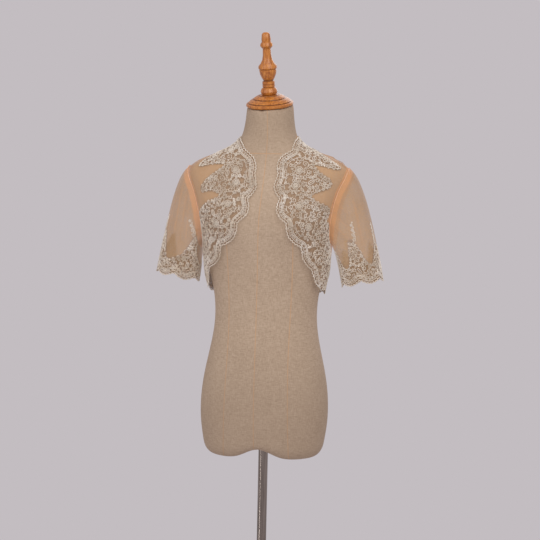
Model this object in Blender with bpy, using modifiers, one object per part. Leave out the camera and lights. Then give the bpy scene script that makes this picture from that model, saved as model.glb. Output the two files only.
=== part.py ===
"""Bolero jacket of tulle and corded lace, worn by a limbless dress form on a stand.

The form is a stack of rounded sections. Every cloth piece is a thin wall on the form's surface,
moved out by its own distance. A place on that surface is given by a turn and a height: the turn
is in degrees round the pole, 0 at the wearer's left side (+X), -90 at the front and 90 at the back.
Sizes are in millimetres and become metres when a mesh is made.
"""

import math
from collections import namedtuple

import bmesh
import bpy
import numpy as np
from mathutils.bvhtree import BVHTree

MM = 0.001
SEAM_GAP = 0.3

# Driving dimensions of the cloth. At the shoulder's end it stands further off the form
STAND_OFF = 0.6
SHOULDER_EASE = 2.6
EASE_FROM, EASE_OVER = 118.0, 34.0
EASE_HEIGHT, EASE_HALF_HEIGHT = 1362.0, 34.0
TULLE = 1.0
SLEEVE_LACE_LIFT = 1.6
LACE = 1.0
LACE_RELIEF = 0.5
SMALL_SCALLOP = 1.3
SCALLOP_ROUND = 2.2

# How a skin is laid on the one under it: where the rays start, and the step it is lifted by
CAST_FROM = 9.0
SETTLE_STEP = 0.3
SETTLE_ROUNDS = 24
TURN_OF_SEAM = 0.12

# Driving dimensions of the stand
PLATE_RADIUS = 160.0
PLATE_THICK = 9.0
PLATE_EDGE = 2.5
PLATE_SIDES = 36
POLE_RADIUS = 11.0
POLE_SIDES = 20
SOCKET_CLEARANCE = 0.3
SOCKET_TOP = 790.0
COLLAR_HEIGHT = 42.0
COLLAR_SHAPE = [(32.0, 0.0), (31.0, 4.0), (20.0, 14.0), (16.5, COLLAR_HEIGHT)]

# Driving dimensions of the form's ends
NECK_TILT = 15.0
NECK_SIDE_TILT = -2.0
NECK_TILT_FROM = 1446.0
NECK_TOP = 1505.0
NECK_CENTRE = -7.0
BOTTOM_FROM = 745.0
LOBE_HEIGHT = 703.0
NOTCH_RISE = 27.0
NOTCH_HALF_WIDTH = 34.0
FORM_COLUMNS = 32
NECK_RINGS = [1505, 1484, 1462, 1444, 1432, 1422, 1412, 1402, 1391, 1379, 1367, 1354, 1336]
BODY_RINGS = [1310, 1280, 1250, 1220, 1186, 1145, 1100, 1060, 1015, 970, 925, 875, 825, 780, 745]

# The form's underside: each ring's size and how far it has dropped to the lobes
Under = namedtuple("Under", "scale drop")
UNDERSIDE = [
    Under(0.98, 0.44),
    Under(0.93, 0.76),
    Under(0.85, 0.97),
    Under(0.70, 1.0),
    Under(0.50, 1.0),
    Under(0.30, 1.0),
]

Section = namedtuple("Section", "height half_width front back square")
FORM_SECTIONS = [
    Section(1505, 53.0, 61, 47, 2.0),
    Section(1475, 55.5, 62, 50, 2.0),
    Section(1450, 59.5, 62, 55, 2.0),
    Section(1432, 66.0, 63, 59, 2.05),
    Section(1420, 76.0, 65, 62, 2.1),
    Section(1409, 90.0, 67, 65, 2.15),
    Section(1395, 122.0, 70, 70, 2.2),
    Section(1379, 158.0, 75, 76, 2.3),
    Section(1362, 181.0, 80, 82, 2.4),
    Section(1345, 185.0, 85, 87, 2.5),
    Section(1320, 177.0, 92, 92, 2.6),
    Section(1280, 164.0, 102, 97, 2.6),
    Section(1240, 154.0, 104, 97, 2.6),
    Section(1200, 147.0, 101, 94, 2.5),
    Section(1160, 141.0, 94, 89, 2.4),
    Section(1120, 132.0, 88, 84, 2.3),
    Section(1090, 123.0, 86, 81, 2.2),
    Section(1060, 118.5, 85, 80, 2.2),
    Section(1024, 117.0, 84, 80, 2.2),
    Section(980, 122.0, 88, 88, 2.2),
    Section(937, 131.0, 93, 99, 2.2),
    Section(895, 141.0, 97, 112, 2.2),
    Section(856, 146.5, 99, 120, 2.3),
    Section(815, 149.0, 100, 124, 2.3),
    Section(770, 147.0, 97, 119, 2.3),
    Section(745, 142.0, 92, 110, 2.3),
]

Bust = namedtuple("Bust", "out from_centre half_width height half_height")
BUST = Bust(15.0, 70.0, 40.0, 1236.0, 42.0)

# How far the cloth hangs away from the form below the bust, beyond its stand-off. The back's
# folds start at FOLD_FROM and are full FOLD_OVER lower
Hang = namedtuple("Hang", "height away")
HANGS = [
    Hang(1440, 0.0),
    Hang(1215, 0.0),
    Hang(1190, 1.5),
    Hang(1160, 4.5),
    Hang(1120, 8.5),
    Hang(1075, 12.0),
]

FOLD_FROM, FOLD_OVER = 1200.0, 90.0

# Armhole: its highest and lowest point, and how far it reaches to the front and the back
ARMHOLE_TOP = 1364.0
ARMHOLE_BOTTOM = 1190.0
ARMHOLE_FRONT = 50.0
ARMHOLE_BACK = 54.0
ARMHOLE_SQUARE = 2.3

# Rows and columns of the panels' cells
FRONT_ROWS, FRONT_COLUMNS = 26, 9
FRONT_CLOSER_AT_EDGE = 1.25
BACK_ROWS, SHOULDER_COLUMNS, NECK_COLUMNS = 18, 6, 8
ROWS_BY_ARMHOLE = 0.62

# The jacket's other edges
NECK_POINT = 1433.0
BACK_NECK = 1428.0
SIDE_HEM = 1093.0
BACK_HEM = 1088.0
BACK_SCALLOPS = 8
BACK_SCALLOP_DEPTH = 11.0
NECK_SCALLOPS = 5
NECK_SCALLOP_DEPTH = 5.0
NECK_LACE_LOW = 1392.0
NECK_LACE_SEAM = 1403.0
NECK_LACE_STEPS = 22
BACK_BORDER = 40.0
STEPS_A_BACK_SCALLOP = 5

LEFT, RIGHT = 1, -1
SIDE_NAMES = {LEFT: "left", RIGHT: "right"}

# Front edge from the neck to the side seam. Each row is a notch between two scallops, with the
# distance of each front's edge from the centre and how far the scallop below it stands out
Notch = namedtuple("Notch", "height right left right_out left_out")
FRONT_NOTCHES = [
    Notch(1433, 66, 66, 2, 2),
    Notch(1399, 44, 62, 14, 17),
    Notch(1345, 20, 38, 14, 13),
    Notch(1294, 33, 45, 16, 16),
    Notch(1242, 53, 62, 17, 13),
    Notch(1189, 93, 93, 14, 9),
    Notch(1139, 119, 110, 4, 4),
    Notch(1093, 122, 121, 0, 0),
]

# Inner boundary of the front lace: the share of the front edge that each point is joined to,
# its distance from the centre, or SEAM where it lies on the panel's outer boundary, and its height
Reach = namedtuple("Reach", "share from_centre height")
SEAM = 999.0
RIGHT_REACH = [
    Reach(0.00, SEAM, 1404),
    Reach(0.02, 121, 1388),
    Reach(0.045, 155, 1366),
    Reach(0.06, 155, 1358),
    Reach(0.09, 120, 1371),
    Reach(0.15, 80, 1370),
    Reach(0.24, 104, 1353),
    Reach(0.29, 143, 1317),
    Reach(0.32, 144, 1306),
    Reach(0.37, 112, 1313),
    Reach(0.42, 84, 1296),
    Reach(0.46, 114, 1289),
    Reach(0.51, SEAM, 1262),
    Reach(0.58, SEAM, 1240),
    Reach(0.67, SEAM, 1212),
    Reach(0.78, SEAM, 1172),
    Reach(0.90, SEAM, 1130),
    Reach(1.00, SEAM, 1093),
]
LEFT_REACH = [
    Reach(0.00, SEAM, 1400),
    Reach(0.02, 138, 1382),
    Reach(0.045, 170, 1364),
    Reach(0.06, 170, 1356),
    Reach(0.09, 140, 1366),
    Reach(0.15, 104, 1374),
    Reach(0.24, 124, 1352),
    Reach(0.30, 152, 1333),
    Reach(0.33, 153, 1322),
    Reach(0.38, 122, 1311),
    Reach(0.43, 102, 1302),
    Reach(0.47, 122, 1285),
    Reach(0.51, 149, 1277),
    Reach(0.55, 146, 1259),
    Reach(0.59, 134, 1241),
    Reach(0.62, SEAM, 1246),
    Reach(0.70, SEAM, 1214),
    Reach(0.80, SEAM, 1172),
    Reach(0.90, SEAM, 1130),
    Reach(1.00, SEAM, 1093),
]
REACHES = {LEFT: LEFT_REACH, RIGHT: RIGHT_REACH}

# Distances of the lace's columns of points from the middle of a scallop's edge. At the notches
# all but the first two lie ARC_DEEPER further in, so that they make an arc in each scallop. The
# windows are cut after WINDOW_COLUMN columns, in every other step but the first and last few
LACE_COLUMNS = [0.0, 7.0, 15.0, 22.0]
ARC_DEEPER = 8.0
LACE_INNER_COLUMNS = 4
WINDOW_COLUMN = 2
NECK_WINDOW_COLUMN = 2
NO_WINDOW_STEPS = 3
FRONT_NO_WINDOW_STEPS = 5
FRONT_LACE_STEPS = 42
LACE_INSET = 1.8

# Sleeve hems: the middle of the hem, its half width and half depth, and how many degrees
# its outer end is higher than its inner end
Hem = namedtuple("Hem", "from_centre forward height half_width half_depth tilt")
HEMS = {
    LEFT: Hem(221.0, 4.0, 1110.0, 46.5, 46.0, 9.8),
    RIGHT: Hem(208.0, 4.0, 1115.0, 50.0, 46.0, 11.6),
}
SLEEVE_SCALLOPS = 6
SLEEVE_SCALLOP_DEPTH = 12.0
SLEEVE_COLUMNS = 28
SLEEVE_ROWS = 8
SLEEVE_OFF_PANEL = 2.3
SLEEVE_BORDER = 38.0
ROWS_CLOSER_AT_HEM = 1.15
FOLD_STARTS, FOLD_LOST_AT_HEM = 0.3, 0.55
CAP_OUT, CAP_DOWN, CAP_PULL = 0.85, 0.53, 110.0
SIDE_SPREAD, UNDERARM_SPREAD, UNDERARM_PULL = 0.25, 0.35, 60.0
HEM_PULL = 0.95
SLEEVE_LACE_STEPS = 36

# Sprays of the sleeve lace: the place round the sleeve in degrees, 0 at the front and 90 at the
# outer side, how far each reaches above the border, and its half width in degrees
Spray = namedtuple("Spray", "place reach spread")
SLEEVE_SPRAYS = {
    RIGHT: [Spray(-34, 80, 30), Spray(62, 72, 22), Spray(130, 62, 24), Spray(200, 66, 26)],
    LEFT: [Spray(8, 78, 26), Spray(74, 74, 22), Spray(-58, 46, 20), Spray(140, 62, 24), Spray(214, 62, 24)],
}

# Sprays of the back hem: across is -1 to 1 from the left side seam to the right
BACK_SPRAYS = [Spray(-0.74, 42, 0.2), Spray(-0.3, 34, 0.16), Spray(0.22, 44, 0.2), Spray(0.7, 38, 0.18)]

# Soft folds: the place round the sleeve or the body in degrees, the depth and the half width
Fold = namedtuple("Fold", "place depth spread")
SLEEVE_FOLDS = {
    RIGHT: [Fold(8, 2.6, 13), Fold(46, 2.0, 12), Fold(-38, 2.2, 14), Fold(140, 2.4, 16), Fold(205, 2.0, 14)],
    LEFT: [Fold(-20, 2.2, 14), Fold(38, 1.4, 14), Fold(120, 2.2, 16), Fold(190, 2.4, 15)],
}
SPRAY_CLEAR = 10.0
SPRAY_POINTED = 1.3
SLEEVE_LACE_GAP = 0.35
BACK_FOLDS = [Fold(52, 2.6, 8), Fold(74, 1.8, 6), Fold(101, 2.2, 7), Fold(130, 2.8, 9)]

Turned = namedtuple("Turned", "height radius")
CAP_PROFILE = [
    Turned(0.4, 47.0),
    Turned(0.8, 51.5),
    Turned(3.5, 54.0),
    Turned(7.0, 53.6),
    Turned(9.4, 50.6),
    Turned(10.4, 49.4),
    Turned(14.0, 45.0),
    Turned(17.6, 39.0),
    Turned(18.4, 37.0),
    Turned(21.5, 33.0),
    Turned(25.6, 25.5),
    Turned(26.6, 20.0),
]
FINIAL_PROFILE = [
    Turned(26.9, 14.5),
    Turned(28.5, 17.6),
    Turned(34.0, 19.3),
    Turned(40.0, 17.0),
    Turned(43.6, 13.2),
    Turned(45.0, 14.2),
    Turned(49.6, 14.2),
    Turned(50.6, 13.4),
    Turned(51.6, 14.2),
    Turned(56.4, 14.0),
    Turned(58.6, 11.6),
    Turned(64.0, 14.2),
    Turned(74.0, 18.4),
    Turned(83.6, 19.6),
    Turned(84.8, 19.2),
    Turned(87.4, 21.4),
    Turned(92.0, 20.8),
    Turned(98.0, 15.4),
    Turned(106.0, 11.4),
    Turned(116.0, 9.6),
    Turned(131.0, 8.9),
    Turned(132.5, 11.0),
    Turned(137.0, 14.2),
    Turned(142.0, 13.6),
    Turned(146.0, 10.2),
    Turned(152.0, 10.6),
    Turned(163.0, 9.4),
    Turned(166.5, 6.5),
    Turned(168.0, 0.0),
]
CAP_SIDES = 20
FINIAL_SIDES = 14


def clear_scene():
    for old in list(bpy.data.objects):
        bpy.data.objects.remove(old, do_unlink=True)


def smooth_curve(at, value):
    """A function through the points (at, value) that doesn't swing past them."""
    order = np.argsort(at)
    at = np.asarray(at, float)[order]
    value = np.asarray(value, float)[order]
    step = np.diff(at)
    rise = np.diff(value) / step
    slope = np.concatenate([rise[:1], np.zeros(len(at) - 2), rise[-1:]])
    for k in range(1, len(at) - 1):
        if rise[k - 1] * rise[k] > 0:
            before = 2 * step[k] + step[k - 1]
            after = step[k] + 2 * step[k - 1]
            slope[k] = (before + after) / (before / rise[k - 1] + after / rise[k])

    def curve(x):
        k = int(np.clip(np.searchsorted(at, x) - 1, 0, len(step) - 1))
        t = min(max((x - at[k]) / step[k], 0.0), 1.0)
        ends = value[k] * (1 + 2 * t) * (1 - t) ** 2 + value[k + 1] * t * t * (3 - 2 * t)
        slopes = slope[k] * t * (1 - t) ** 2 - slope[k + 1] * t * t * (1 - t)
        return ends + slopes * step[k]

    return curve


def column_curve(rows, by, column):
    return smooth_curve([getattr(row, by) for row in rows], [getattr(row, column) for row in rows])


half_width_at = column_curve(FORM_SECTIONS, "height", "half_width")
front_at = column_curve(FORM_SECTIONS, "height", "front")
back_at = column_curve(FORM_SECTIONS, "height", "back")
square_at = column_curve(FORM_SECTIONS, "height", "square")
hang_at = column_curve(HANGS, "height", "away")


def form_point(turn, height):
    """A point of the form's skin. The turn is the parameter of a rounded section."""
    angle = math.radians(turn)
    across, along = math.cos(angle), math.sin(angle)
    depth = front_at(height) if along < 0 else back_at(height)
    power = 2 / square_at(height)
    x = half_width_at(height) * math.copysign(abs(across) ** power, across)
    y = depth * math.copysign(abs(along) ** power, along)
    z = height
    if along < 0:
        beside = (abs(x) - BUST.from_centre) / BUST.half_width
        above = (height - BUST.height) / BUST.half_height
        y += BUST.out * along * math.exp(-beside * beside - above * above)
    lean = min(max((height - NECK_TILT_FROM) / (NECK_TOP - NECK_TILT_FROM), 0.0), 1.0)
    z += lean * math.tan(math.radians(NECK_TILT)) * (y - NECK_CENTRE)
    z -= lean * math.tan(math.radians(NECK_SIDE_TILT)) * x
    return np.array([x, y, z])


def form_normal(turn, height):
    round_it = form_point(turn + 0.6, height) - form_point(turn - 0.6, height)
    up_it = form_point(turn, height + 1.5) - form_point(turn, height - 1.5)
    normal = np.cross(round_it, up_it)
    return normal / np.linalg.norm(normal)


def dip(distance, spread):
    """1 in the middle of a fold, falling softly to 0 beside it."""
    return math.exp(-((distance / spread) ** 2))


def cloth_point(turn, height, lift=0.0):
    """A point of the jacket's body. With no lift it is on the inner face of the tulle."""
    away = hang_at(height)
    folds = sum(fold.depth * dip(turn - fold.place, fold.spread) for fold in BACK_FOLDS)
    share_hanging = min(max((FOLD_FROM - height) / FOLD_OVER, 0.0), 1.0)
    point = form_point(turn, height)
    outward = min(max((abs(point[0]) - EASE_FROM) / EASE_OVER, 0.0), 1.0)
    shoulder = outward * dip(height - EASE_HEIGHT, EASE_HALF_HEIGHT)
    distance = STAND_OFF + SHOULDER_EASE * shoulder + away + folds * share_hanging + lift
    return point + distance * form_normal(turn, height)


def on_side(turn, side):
    """A turn given for the wearer's left, taken to this side."""
    return turn if side == LEFT else 180 - turn


def front_turn(from_centre, height, side):
    """The turn of a place on the front from its distance to the centre."""
    share = min(from_centre / half_width_at(height), 0.999)
    turn = -math.degrees(math.acos(share ** (square_at(height) / 2)))
    return on_side(turn, side)


def outer_turn(height, side, front):
    """The turn of a panel's outer boundary: the shoulder seam, the armhole or the side seam."""
    turn = TURN_OF_SEAM
    if ARMHOLE_BOTTOM < height < ARMHOLE_TOP:
        middle = (ARMHOLE_TOP + ARMHOLE_BOTTOM) / 2
        up = abs(height - middle) / (ARMHOLE_TOP - middle)
        reach = (1 - up**ARMHOLE_SQUARE) ** (1 / ARMHOLE_SQUARE)
        y = reach * (ARMHOLE_FRONT if front else ARMHOLE_BACK)
        depth = front_at(height) if front else back_at(height)
        turn = max(turn, math.degrees(math.asin((y / depth) ** (square_at(height) / 2))))
    return on_side(-turn if front else turn, side)


def scallop(share):
    """How far a scallop's edge stands out, from 0 in its notches to 1 in its middle."""
    return 1 - abs(2 * (share % 1.0) - 1) ** SCALLOP_ROUND


def small_scallop(step):
    """The small scallops along a lace edge: every other point stands out."""
    return SMALL_SCALLOP if step % 2 else -SMALL_SCALLOP


def front_notch_at(side, share):
    """The rows of the notches, the row a share of the edge lies after, and how far after it."""
    rows = [
        (n.height, n.left, n.left_out) if side == LEFT else (n.height, n.right, n.right_out)
        for n in FRONT_NOTCHES
    ]
    lengths = [math.hypot(b[0] - a[0], b[1] - a[1]) for a, b in zip(rows, rows[1:])]
    ends = np.concatenate([[0], np.cumsum(lengths)])
    i = min(int(np.searchsorted(ends, ends[-1] * share, side="right")) - 1, len(lengths) - 1)
    along = (ends[-1] * share - ends[i]) / lengths[i]
    return rows[i], rows[i + 1], min(along, 0.9999)


def front_edge_place(side, share, small=0.0):
    """(turn, height) on the front edge: share is 0 at the shoulder seam and 1 at the side seam."""
    (z0, x0, out), (z1, x1, _), along = front_notch_at(side, share)
    length = math.hypot(x1 - x0, z1 - z0)
    bulge = out * scallop(along) + small
    x = x0 + (x1 - x0) * along + bulge * (z1 - z0) / length
    z = z0 + (z1 - z0) * along - bulge * (x1 - x0) / length
    return front_turn(x, z, side), z


def front_shares(side, steps):
    """Shares of the front edge that are evenly spaced along it on the form."""
    shares = np.linspace(0.0, 1.0, 200)
    points = [form_point(*front_edge_place(side, share)) for share in shares]
    along = np.concatenate([[0], np.cumsum([np.linalg.norm(b - a) for a, b in zip(points, points[1:])])])
    return [float(share) for share in np.interp(np.linspace(0, along[-1], steps + 1), along, shares)]


def front_edge(side, steps, small=False):
    """(turn, height) along the front edge, from the shoulder seam to the side seam."""
    edge = [(on_side(-TURN_OF_SEAM, side), NECK_POINT)]
    for k, share in enumerate(front_shares(side, steps)[1:], start=1):
        edge.append(front_edge_place(side, share, small_scallop(k) if small and k < steps else 0.0))
    return edge


def wall(name, inner, outer, closed=False, windows=()):
    """A wall between two grids of points, with a rim all round. windows are cells left open."""
    bm = bmesh.new()
    rows, columns = len(inner), len(inner[0])
    skins = [[[bm.verts.new(point * MM) for point in row] for row in skin] for skin in (inner, outer)]
    around = columns if closed else columns - 1
    cells = {(i, j) for i in range(rows - 1) for j in range(around)} - set(windows)

    def corners(i, j):
        far = (j + 1) % columns
        return (i, j), (i, far), (i + 1, far), (i + 1, j)

    for i, j in sorted(cells):
        ring = corners(i, j)
        bm.faces.new([skins[1][a][b] for a, b in ring])
        bm.faces.new([skins[0][a][b] for a, b in reversed(ring)])
        beside = ((i - 1, j), (i, j + 1), (i + 1, j), (i, j - 1))
        for k, (row, column) in enumerate(beside):
            neighbour = (row, column % columns) if closed else (row, column)
            if neighbour in cells:
                continue
            a, b = ring[k], ring[(k + 1) % 4]
            bm.faces.new(
                [
                    skins[0][a[0]][a[1]],
                    skins[0][b[0]][b[1]],
                    skins[1][b[0]][b[1]],
                    skins[1][a[0]][a[1]],
                ]
            )
    loose = [vert for vert in bm.verts if not vert.link_faces]
    bmesh.ops.delete(bm, geom=loose, context="VERTS")
    bmesh.ops.recalc_face_normals(bm, faces=bm.faces)
    mesh = bpy.data.meshes.new(name)
    bm.to_mesh(mesh)
    bm.free()
    return mesh


def tree_of(mesh):
    """A mesh's surface to cast rays at, in millimetres, with each cell cut along both diagonals."""
    corners = [vert.co / MM for vert in mesh.vertices]
    faces = []
    for polygon in mesh.polygons:
        if len(polygon.vertices) == 4:
            a, b, c, d = polygon.vertices
            faces += [(a, b, c), (a, c, d), (a, b, d), (b, c, d)]
    return BVHTree.FromPolygons(corners, faces)


def settle(places, lift, under):
    """How far out a skin over these places lies, so that it clears the surface under it."""
    rows, columns = len(places), len(places[0])
    base = np.array([[cloth_point(*place) for place in row] for row in places])
    normal = np.array([[form_normal(*place) for place in row] for row in places])
    lifts = np.full((rows, columns), lift)
    for i in range(rows):
        for j in range(columns):
            start = base[i, j] + CAST_FROM * normal[i, j]
            distance = under.ray_cast(start, -normal[i, j], 2 * CAST_FROM)[3]
            if distance is not None:
                lifts[i, j] = max(lift, CAST_FROM - distance + SEAM_GAP)
    cells = [(i, j) for i in range(rows - 1) for j in range(columns - 1)]
    faces = []
    for i, j in cells:
        a, b = i * columns + j, i * columns + j + 1
        c, d = b + columns, a + columns
        faces += [(a, b, c), (a, c, d), (a, b, d), (b, c, d)]
    for _ in range(SETTLE_ROUNDS):
        skin = base + (lifts - SEAM_GAP)[..., None] * normal
        own = BVHTree.FromPolygons([list(point) for point in skin.reshape(-1, 3)], faces)
        touching = {face for face, _ in own.overlap(under)}
        if not touching:
            break
        low = sorted({corner for face in touching for corner in faces[face]})
        lifts.reshape(-1)[low] += SETTLE_STEP
    return base, normal, lifts


def srgb(code):
    """Linear colour of a hex code."""
    parts = [int(code[i : i + 2], 16) / 255 for i in (0, 2, 4)]
    return [p / 12.92 if p <= 0.04045 else ((p + 0.055) / 1.055) ** 2.4 for p in parts] + [1.0]


def material(name, code, roughness, metallic=0.0):
    made = bpy.data.materials.new(name)
    made.use_nodes = True
    shader = made.node_tree.nodes["Principled BSDF"]
    shader.inputs["Base Color"].default_value = srgb(code)
    shader.inputs["Roughness"].default_value = roughness
    shader.inputs["Metallic"].default_value = metallic
    made.diffuse_color = srgb(code)
    return made


def add_object(name, mesh, look, collection, smooth=True):
    made = bpy.data.objects.new(name, mesh)
    mesh.materials.append(look)
    if smooth:
        mesh.shade_smooth()
    collection.objects.link(made)
    return made


def ring_of(height):
    turns = [360 * k / FORM_COLUMNS for k in range(FORM_COLUMNS)]
    return [form_point(turn, height) for turn in turns]


def bottom_height(x):
    """Height of the form's underside: two lobes with a notch between them."""
    return LOBE_HEIGHT + NOTCH_RISE * dip(x, NOTCH_HALF_WIDTH)


def form_rings():
    """The rings of the form from the neck's top to the socket's roof."""
    rings = [ring_of(height) for height in NECK_RINGS + BODY_RINGS]
    edge = rings[-1]
    for row in UNDERSIDE:
        ring = []
        for point in edge:
            x, y = point[0] * row.scale, point[1] * row.scale
            ring.append(np.array([x, y, BOTTOM_FROM - row.drop * (BOTTOM_FROM - bottom_height(x))]))
        rings.append(ring)
    socket = POLE_RADIUS + SOCKET_CLEARANCE
    turns = [2 * math.pi * k / FORM_COLUMNS for k in range(FORM_COLUMNS)]
    for height in (None, SOCKET_TOP):
        ring = []
        for turn in turns:
            x, y = socket * math.cos(turn), socket * math.sin(turn)
            ring.append(np.array([x, y, height or bottom_height(x)]))
        rings.append(ring)
    return rings


def make_torso(look, collection):
    """The linen-covered torso: rings bridged from the neck to the pole's socket."""
    bm = bmesh.new()
    loops = [[bm.verts.new(point * MM) for point in ring] for ring in form_rings()]
    for above, below in zip(loops, loops[1:]):
        for k in range(FORM_COLUMNS):
            after = (k + 1) % FORM_COLUMNS
            bm.faces.new([above[k], below[k], below[after], above[after]])
    bm.faces.new(loops[0])
    bm.faces.new(list(reversed(loops[-1])))
    bmesh.ops.recalc_face_normals(bm, faces=bm.faces)
    mesh = bpy.data.meshes.new("form_torso")
    bm.to_mesh(mesh)
    bm.free()
    add_object("form_torso", mesh, look, collection)
    mesh.set_sharp_from_angle(angle=math.radians(50))
    return tree_of(mesh)


def make_turned(name, profile, sides, look, collection):
    """A turned piece: its profile from the top down, swept round its axis."""
    bm = bmesh.new()
    points = [(row.radius, row.height) for row in reversed(profile)]
    if points[0][0] > 0:
        points.insert(0, (0.0, points[0][1]))
    if points[-1][0] > 0:
        points.append((0.0, points[-1][1]))
    chain = [bm.verts.new((radius * MM, 0, height * MM)) for radius, height in points]
    for above, below in zip(chain, chain[1:]):
        bm.edges.new((above, below))
    mesh = bpy.data.meshes.new(name)
    bm.to_mesh(mesh)
    bm.free()
    made = add_object(name, mesh, look, collection)
    sweep = made.modifiers.new("turn", "SCREW")
    sweep.axis = "Z"
    sweep.angle = 2 * math.pi
    sweep.steps = sides
    sweep.render_steps = sides
    sweep.use_merge_vertices = True
    sweep.merge_threshold = 0.00001
    sweep.use_smooth_shade = True
    return made


def make_neck_wood(look, collection):
    """The cap on the neck and the finial on the cap, both on the neck's tilted axis."""
    carrier = bpy.data.objects.new("neck_axis", None)
    collection.objects.link(carrier)
    carrier.location = (0, NECK_CENTRE * MM, NECK_TOP * MM)
    carrier.rotation_euler = (math.radians(NECK_TILT), math.radians(NECK_SIDE_TILT), 0)
    for name, profile, sides in (
        ("neck_cap", CAP_PROFILE, CAP_SIDES),
        ("finial", FINIAL_PROFILE, FINIAL_SIDES),
    ):
        made = make_turned(name, profile, sides, look, collection)
        made.parent = carrier


def make_stand(looks, collection):
    """Foot plate, collar and pole. The pole's top stands in the socket of the torso."""
    plate_top = PLATE_THICK
    plate = [
        Turned(0.0, PLATE_RADIUS - 1.0),
        Turned(1.0, PLATE_RADIUS),
        Turned(plate_top - PLATE_EDGE, PLATE_RADIUS),
        Turned(plate_top, PLATE_RADIUS - PLATE_EDGE),
    ]
    make_turned("foot_plate", plate, PLATE_SIDES, looks["steel"], collection)
    base = plate_top + SEAM_GAP
    bore = POLE_RADIUS + SEAM_GAP
    bm = bmesh.new()
    outline = [(bore, base)] + [(radius, base + up) for radius, up in COLLAR_SHAPE]
    outline.append((bore, base + COLLAR_HEIGHT))
    chain = [bm.verts.new((radius * MM, 0, height * MM)) for radius, height in reversed(outline)]
    for a, b in zip(chain, chain[1:] + chain[:1]):
        bm.edges.new((a, b))
    mesh = bpy.data.meshes.new("pole_collar")
    bm.to_mesh(mesh)
    bm.free()
    collar = add_object("pole_collar", mesh, looks["chrome"], collection)
    sweep = collar.modifiers.new("turn", "SCREW")
    sweep.steps = sweep.render_steps = POLE_SIDES
    sweep.use_merge_vertices = True
    sweep.merge_threshold = 0.00001
    sweep.use_smooth_shade = True
    low, high = base, SOCKET_TOP - SEAM_GAP
    bpy.ops.mesh.primitive_cylinder_add(
        vertices=POLE_SIDES,
        radius=POLE_RADIUS * MM,
        depth=(high - low) * MM,
        location=(0, 0, (low + high) / 2 * MM),
    )
    pole = bpy.context.object
    pole.name = "pole"
    pole.data.name = "pole"
    pole.data.materials.append(looks["chrome"])
    pole.data.shade_smooth()
    pole.data.set_sharp_from_angle(angle=math.radians(40))
    for holder in list(pole.users_collection):
        holder.objects.unlink(pole)
    collection.objects.link(pole)


def between(a, b, share):
    return a[0] + (b[0] - a[0]) * share, a[1] + (b[1] - a[1]) * share


def patch(top, bottom, first, last, shares):
    """Places of a four-sided patch, blended between its four edges. shares run across it."""
    rows, columns = len(first) - 1, len(top) - 1
    grid = []
    for i in range(rows + 1):
        v = (last[i][1] - last[0][1]) / (last[-1][1] - last[0][1])
        row = []
        for j in range(columns + 1):
            u = shares[j]
            place = []
            for k in (0, 1):
                edges = (1 - v) * top[j][k] + v * bottom[j][k] + (1 - u) * first[i][k] + u * last[i][k]
                upper = (1 - u) * top[0][k] + u * top[-1][k]
                lower = (1 - u) * bottom[0][k] + u * bottom[-1][k]
                place.append(edges - (1 - v) * upper - v * lower)
            row.append(tuple(place))
        grid.append(row)
    return grid


def panel_mesh(name, grid, torso):
    """A tulle wall over a grid of places on the form."""
    base, normal, lifts = settle(grid, 0.0, torso)
    return wall(name, *[base + (lifts + lift)[..., None] * normal for lift in (0.0, TULLE)])


def outer_boundary(side, steps, front):
    """Places down the shoulder point, the armhole and the side seam, closer where the armhole turns."""
    over_armhole = round(steps * ROWS_BY_ARMHOLE)
    below = steps - over_armhole
    middle = (ARMHOLE_TOP + ARMHOLE_BOTTOM) / 2
    turns = [math.pi * k / over_armhole for k in range(over_armhole + 1)]
    heights = [middle + (ARMHOLE_TOP - middle) * math.cos(turn) for turn in turns]
    heights += [ARMHOLE_BOTTOM + (SIDE_HEM - ARMHOLE_BOTTOM) * k / below for k in range(1, below + 1)]
    return [(outer_turn(height, side, front), height) for height in heights]


def make_front(side, torso, look, collection):
    """A front: from its edge to the shoulder seam, the armhole and the side seam."""
    shares = [(j / FRONT_COLUMNS) ** FRONT_CLOSER_AT_EDGE for j in range(FRONT_COLUMNS + 1)]
    edge = front_edge(side, FRONT_ROWS)
    boundary = outer_boundary(side, FRONT_ROWS, front=True)
    top = [between(edge[0], boundary[0], share) for share in shares]
    bottom = [between(edge[-1], boundary[-1], share) for share in shares]
    name = "front_" + SIDE_NAMES[side]
    mesh = panel_mesh(name, patch(top, bottom, edge, boundary, shares), torso)
    add_object(name, mesh, look, collection)
    return tree_of(mesh)


def back_neck(across):
    """The place on the back neck edge: across is -1 to 1 from the left shoulder to the right."""
    turn = 90 - (90 - TURN_OF_SEAM) * abs(across)
    height = BACK_NECK + (NECK_POINT - BACK_NECK) * across * across
    return on_side(turn, LEFT if across < 0 else RIGHT), height


def back_hem(across, small=0.0):
    """The place on the back hem, with its scallops: across is -1 at the left side seam."""
    turn = 90 - (90 - TURN_OF_SEAM) * abs(across)
    height = BACK_HEM + (SIDE_HEM - BACK_HEM) * across * across
    out = BACK_SCALLOP_DEPTH * scallop((across + 1) / 2 * BACK_SCALLOPS) if abs(across) < 1 else 0.0
    return on_side(turn, LEFT if across < 0 else RIGHT), height - out - small


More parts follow.
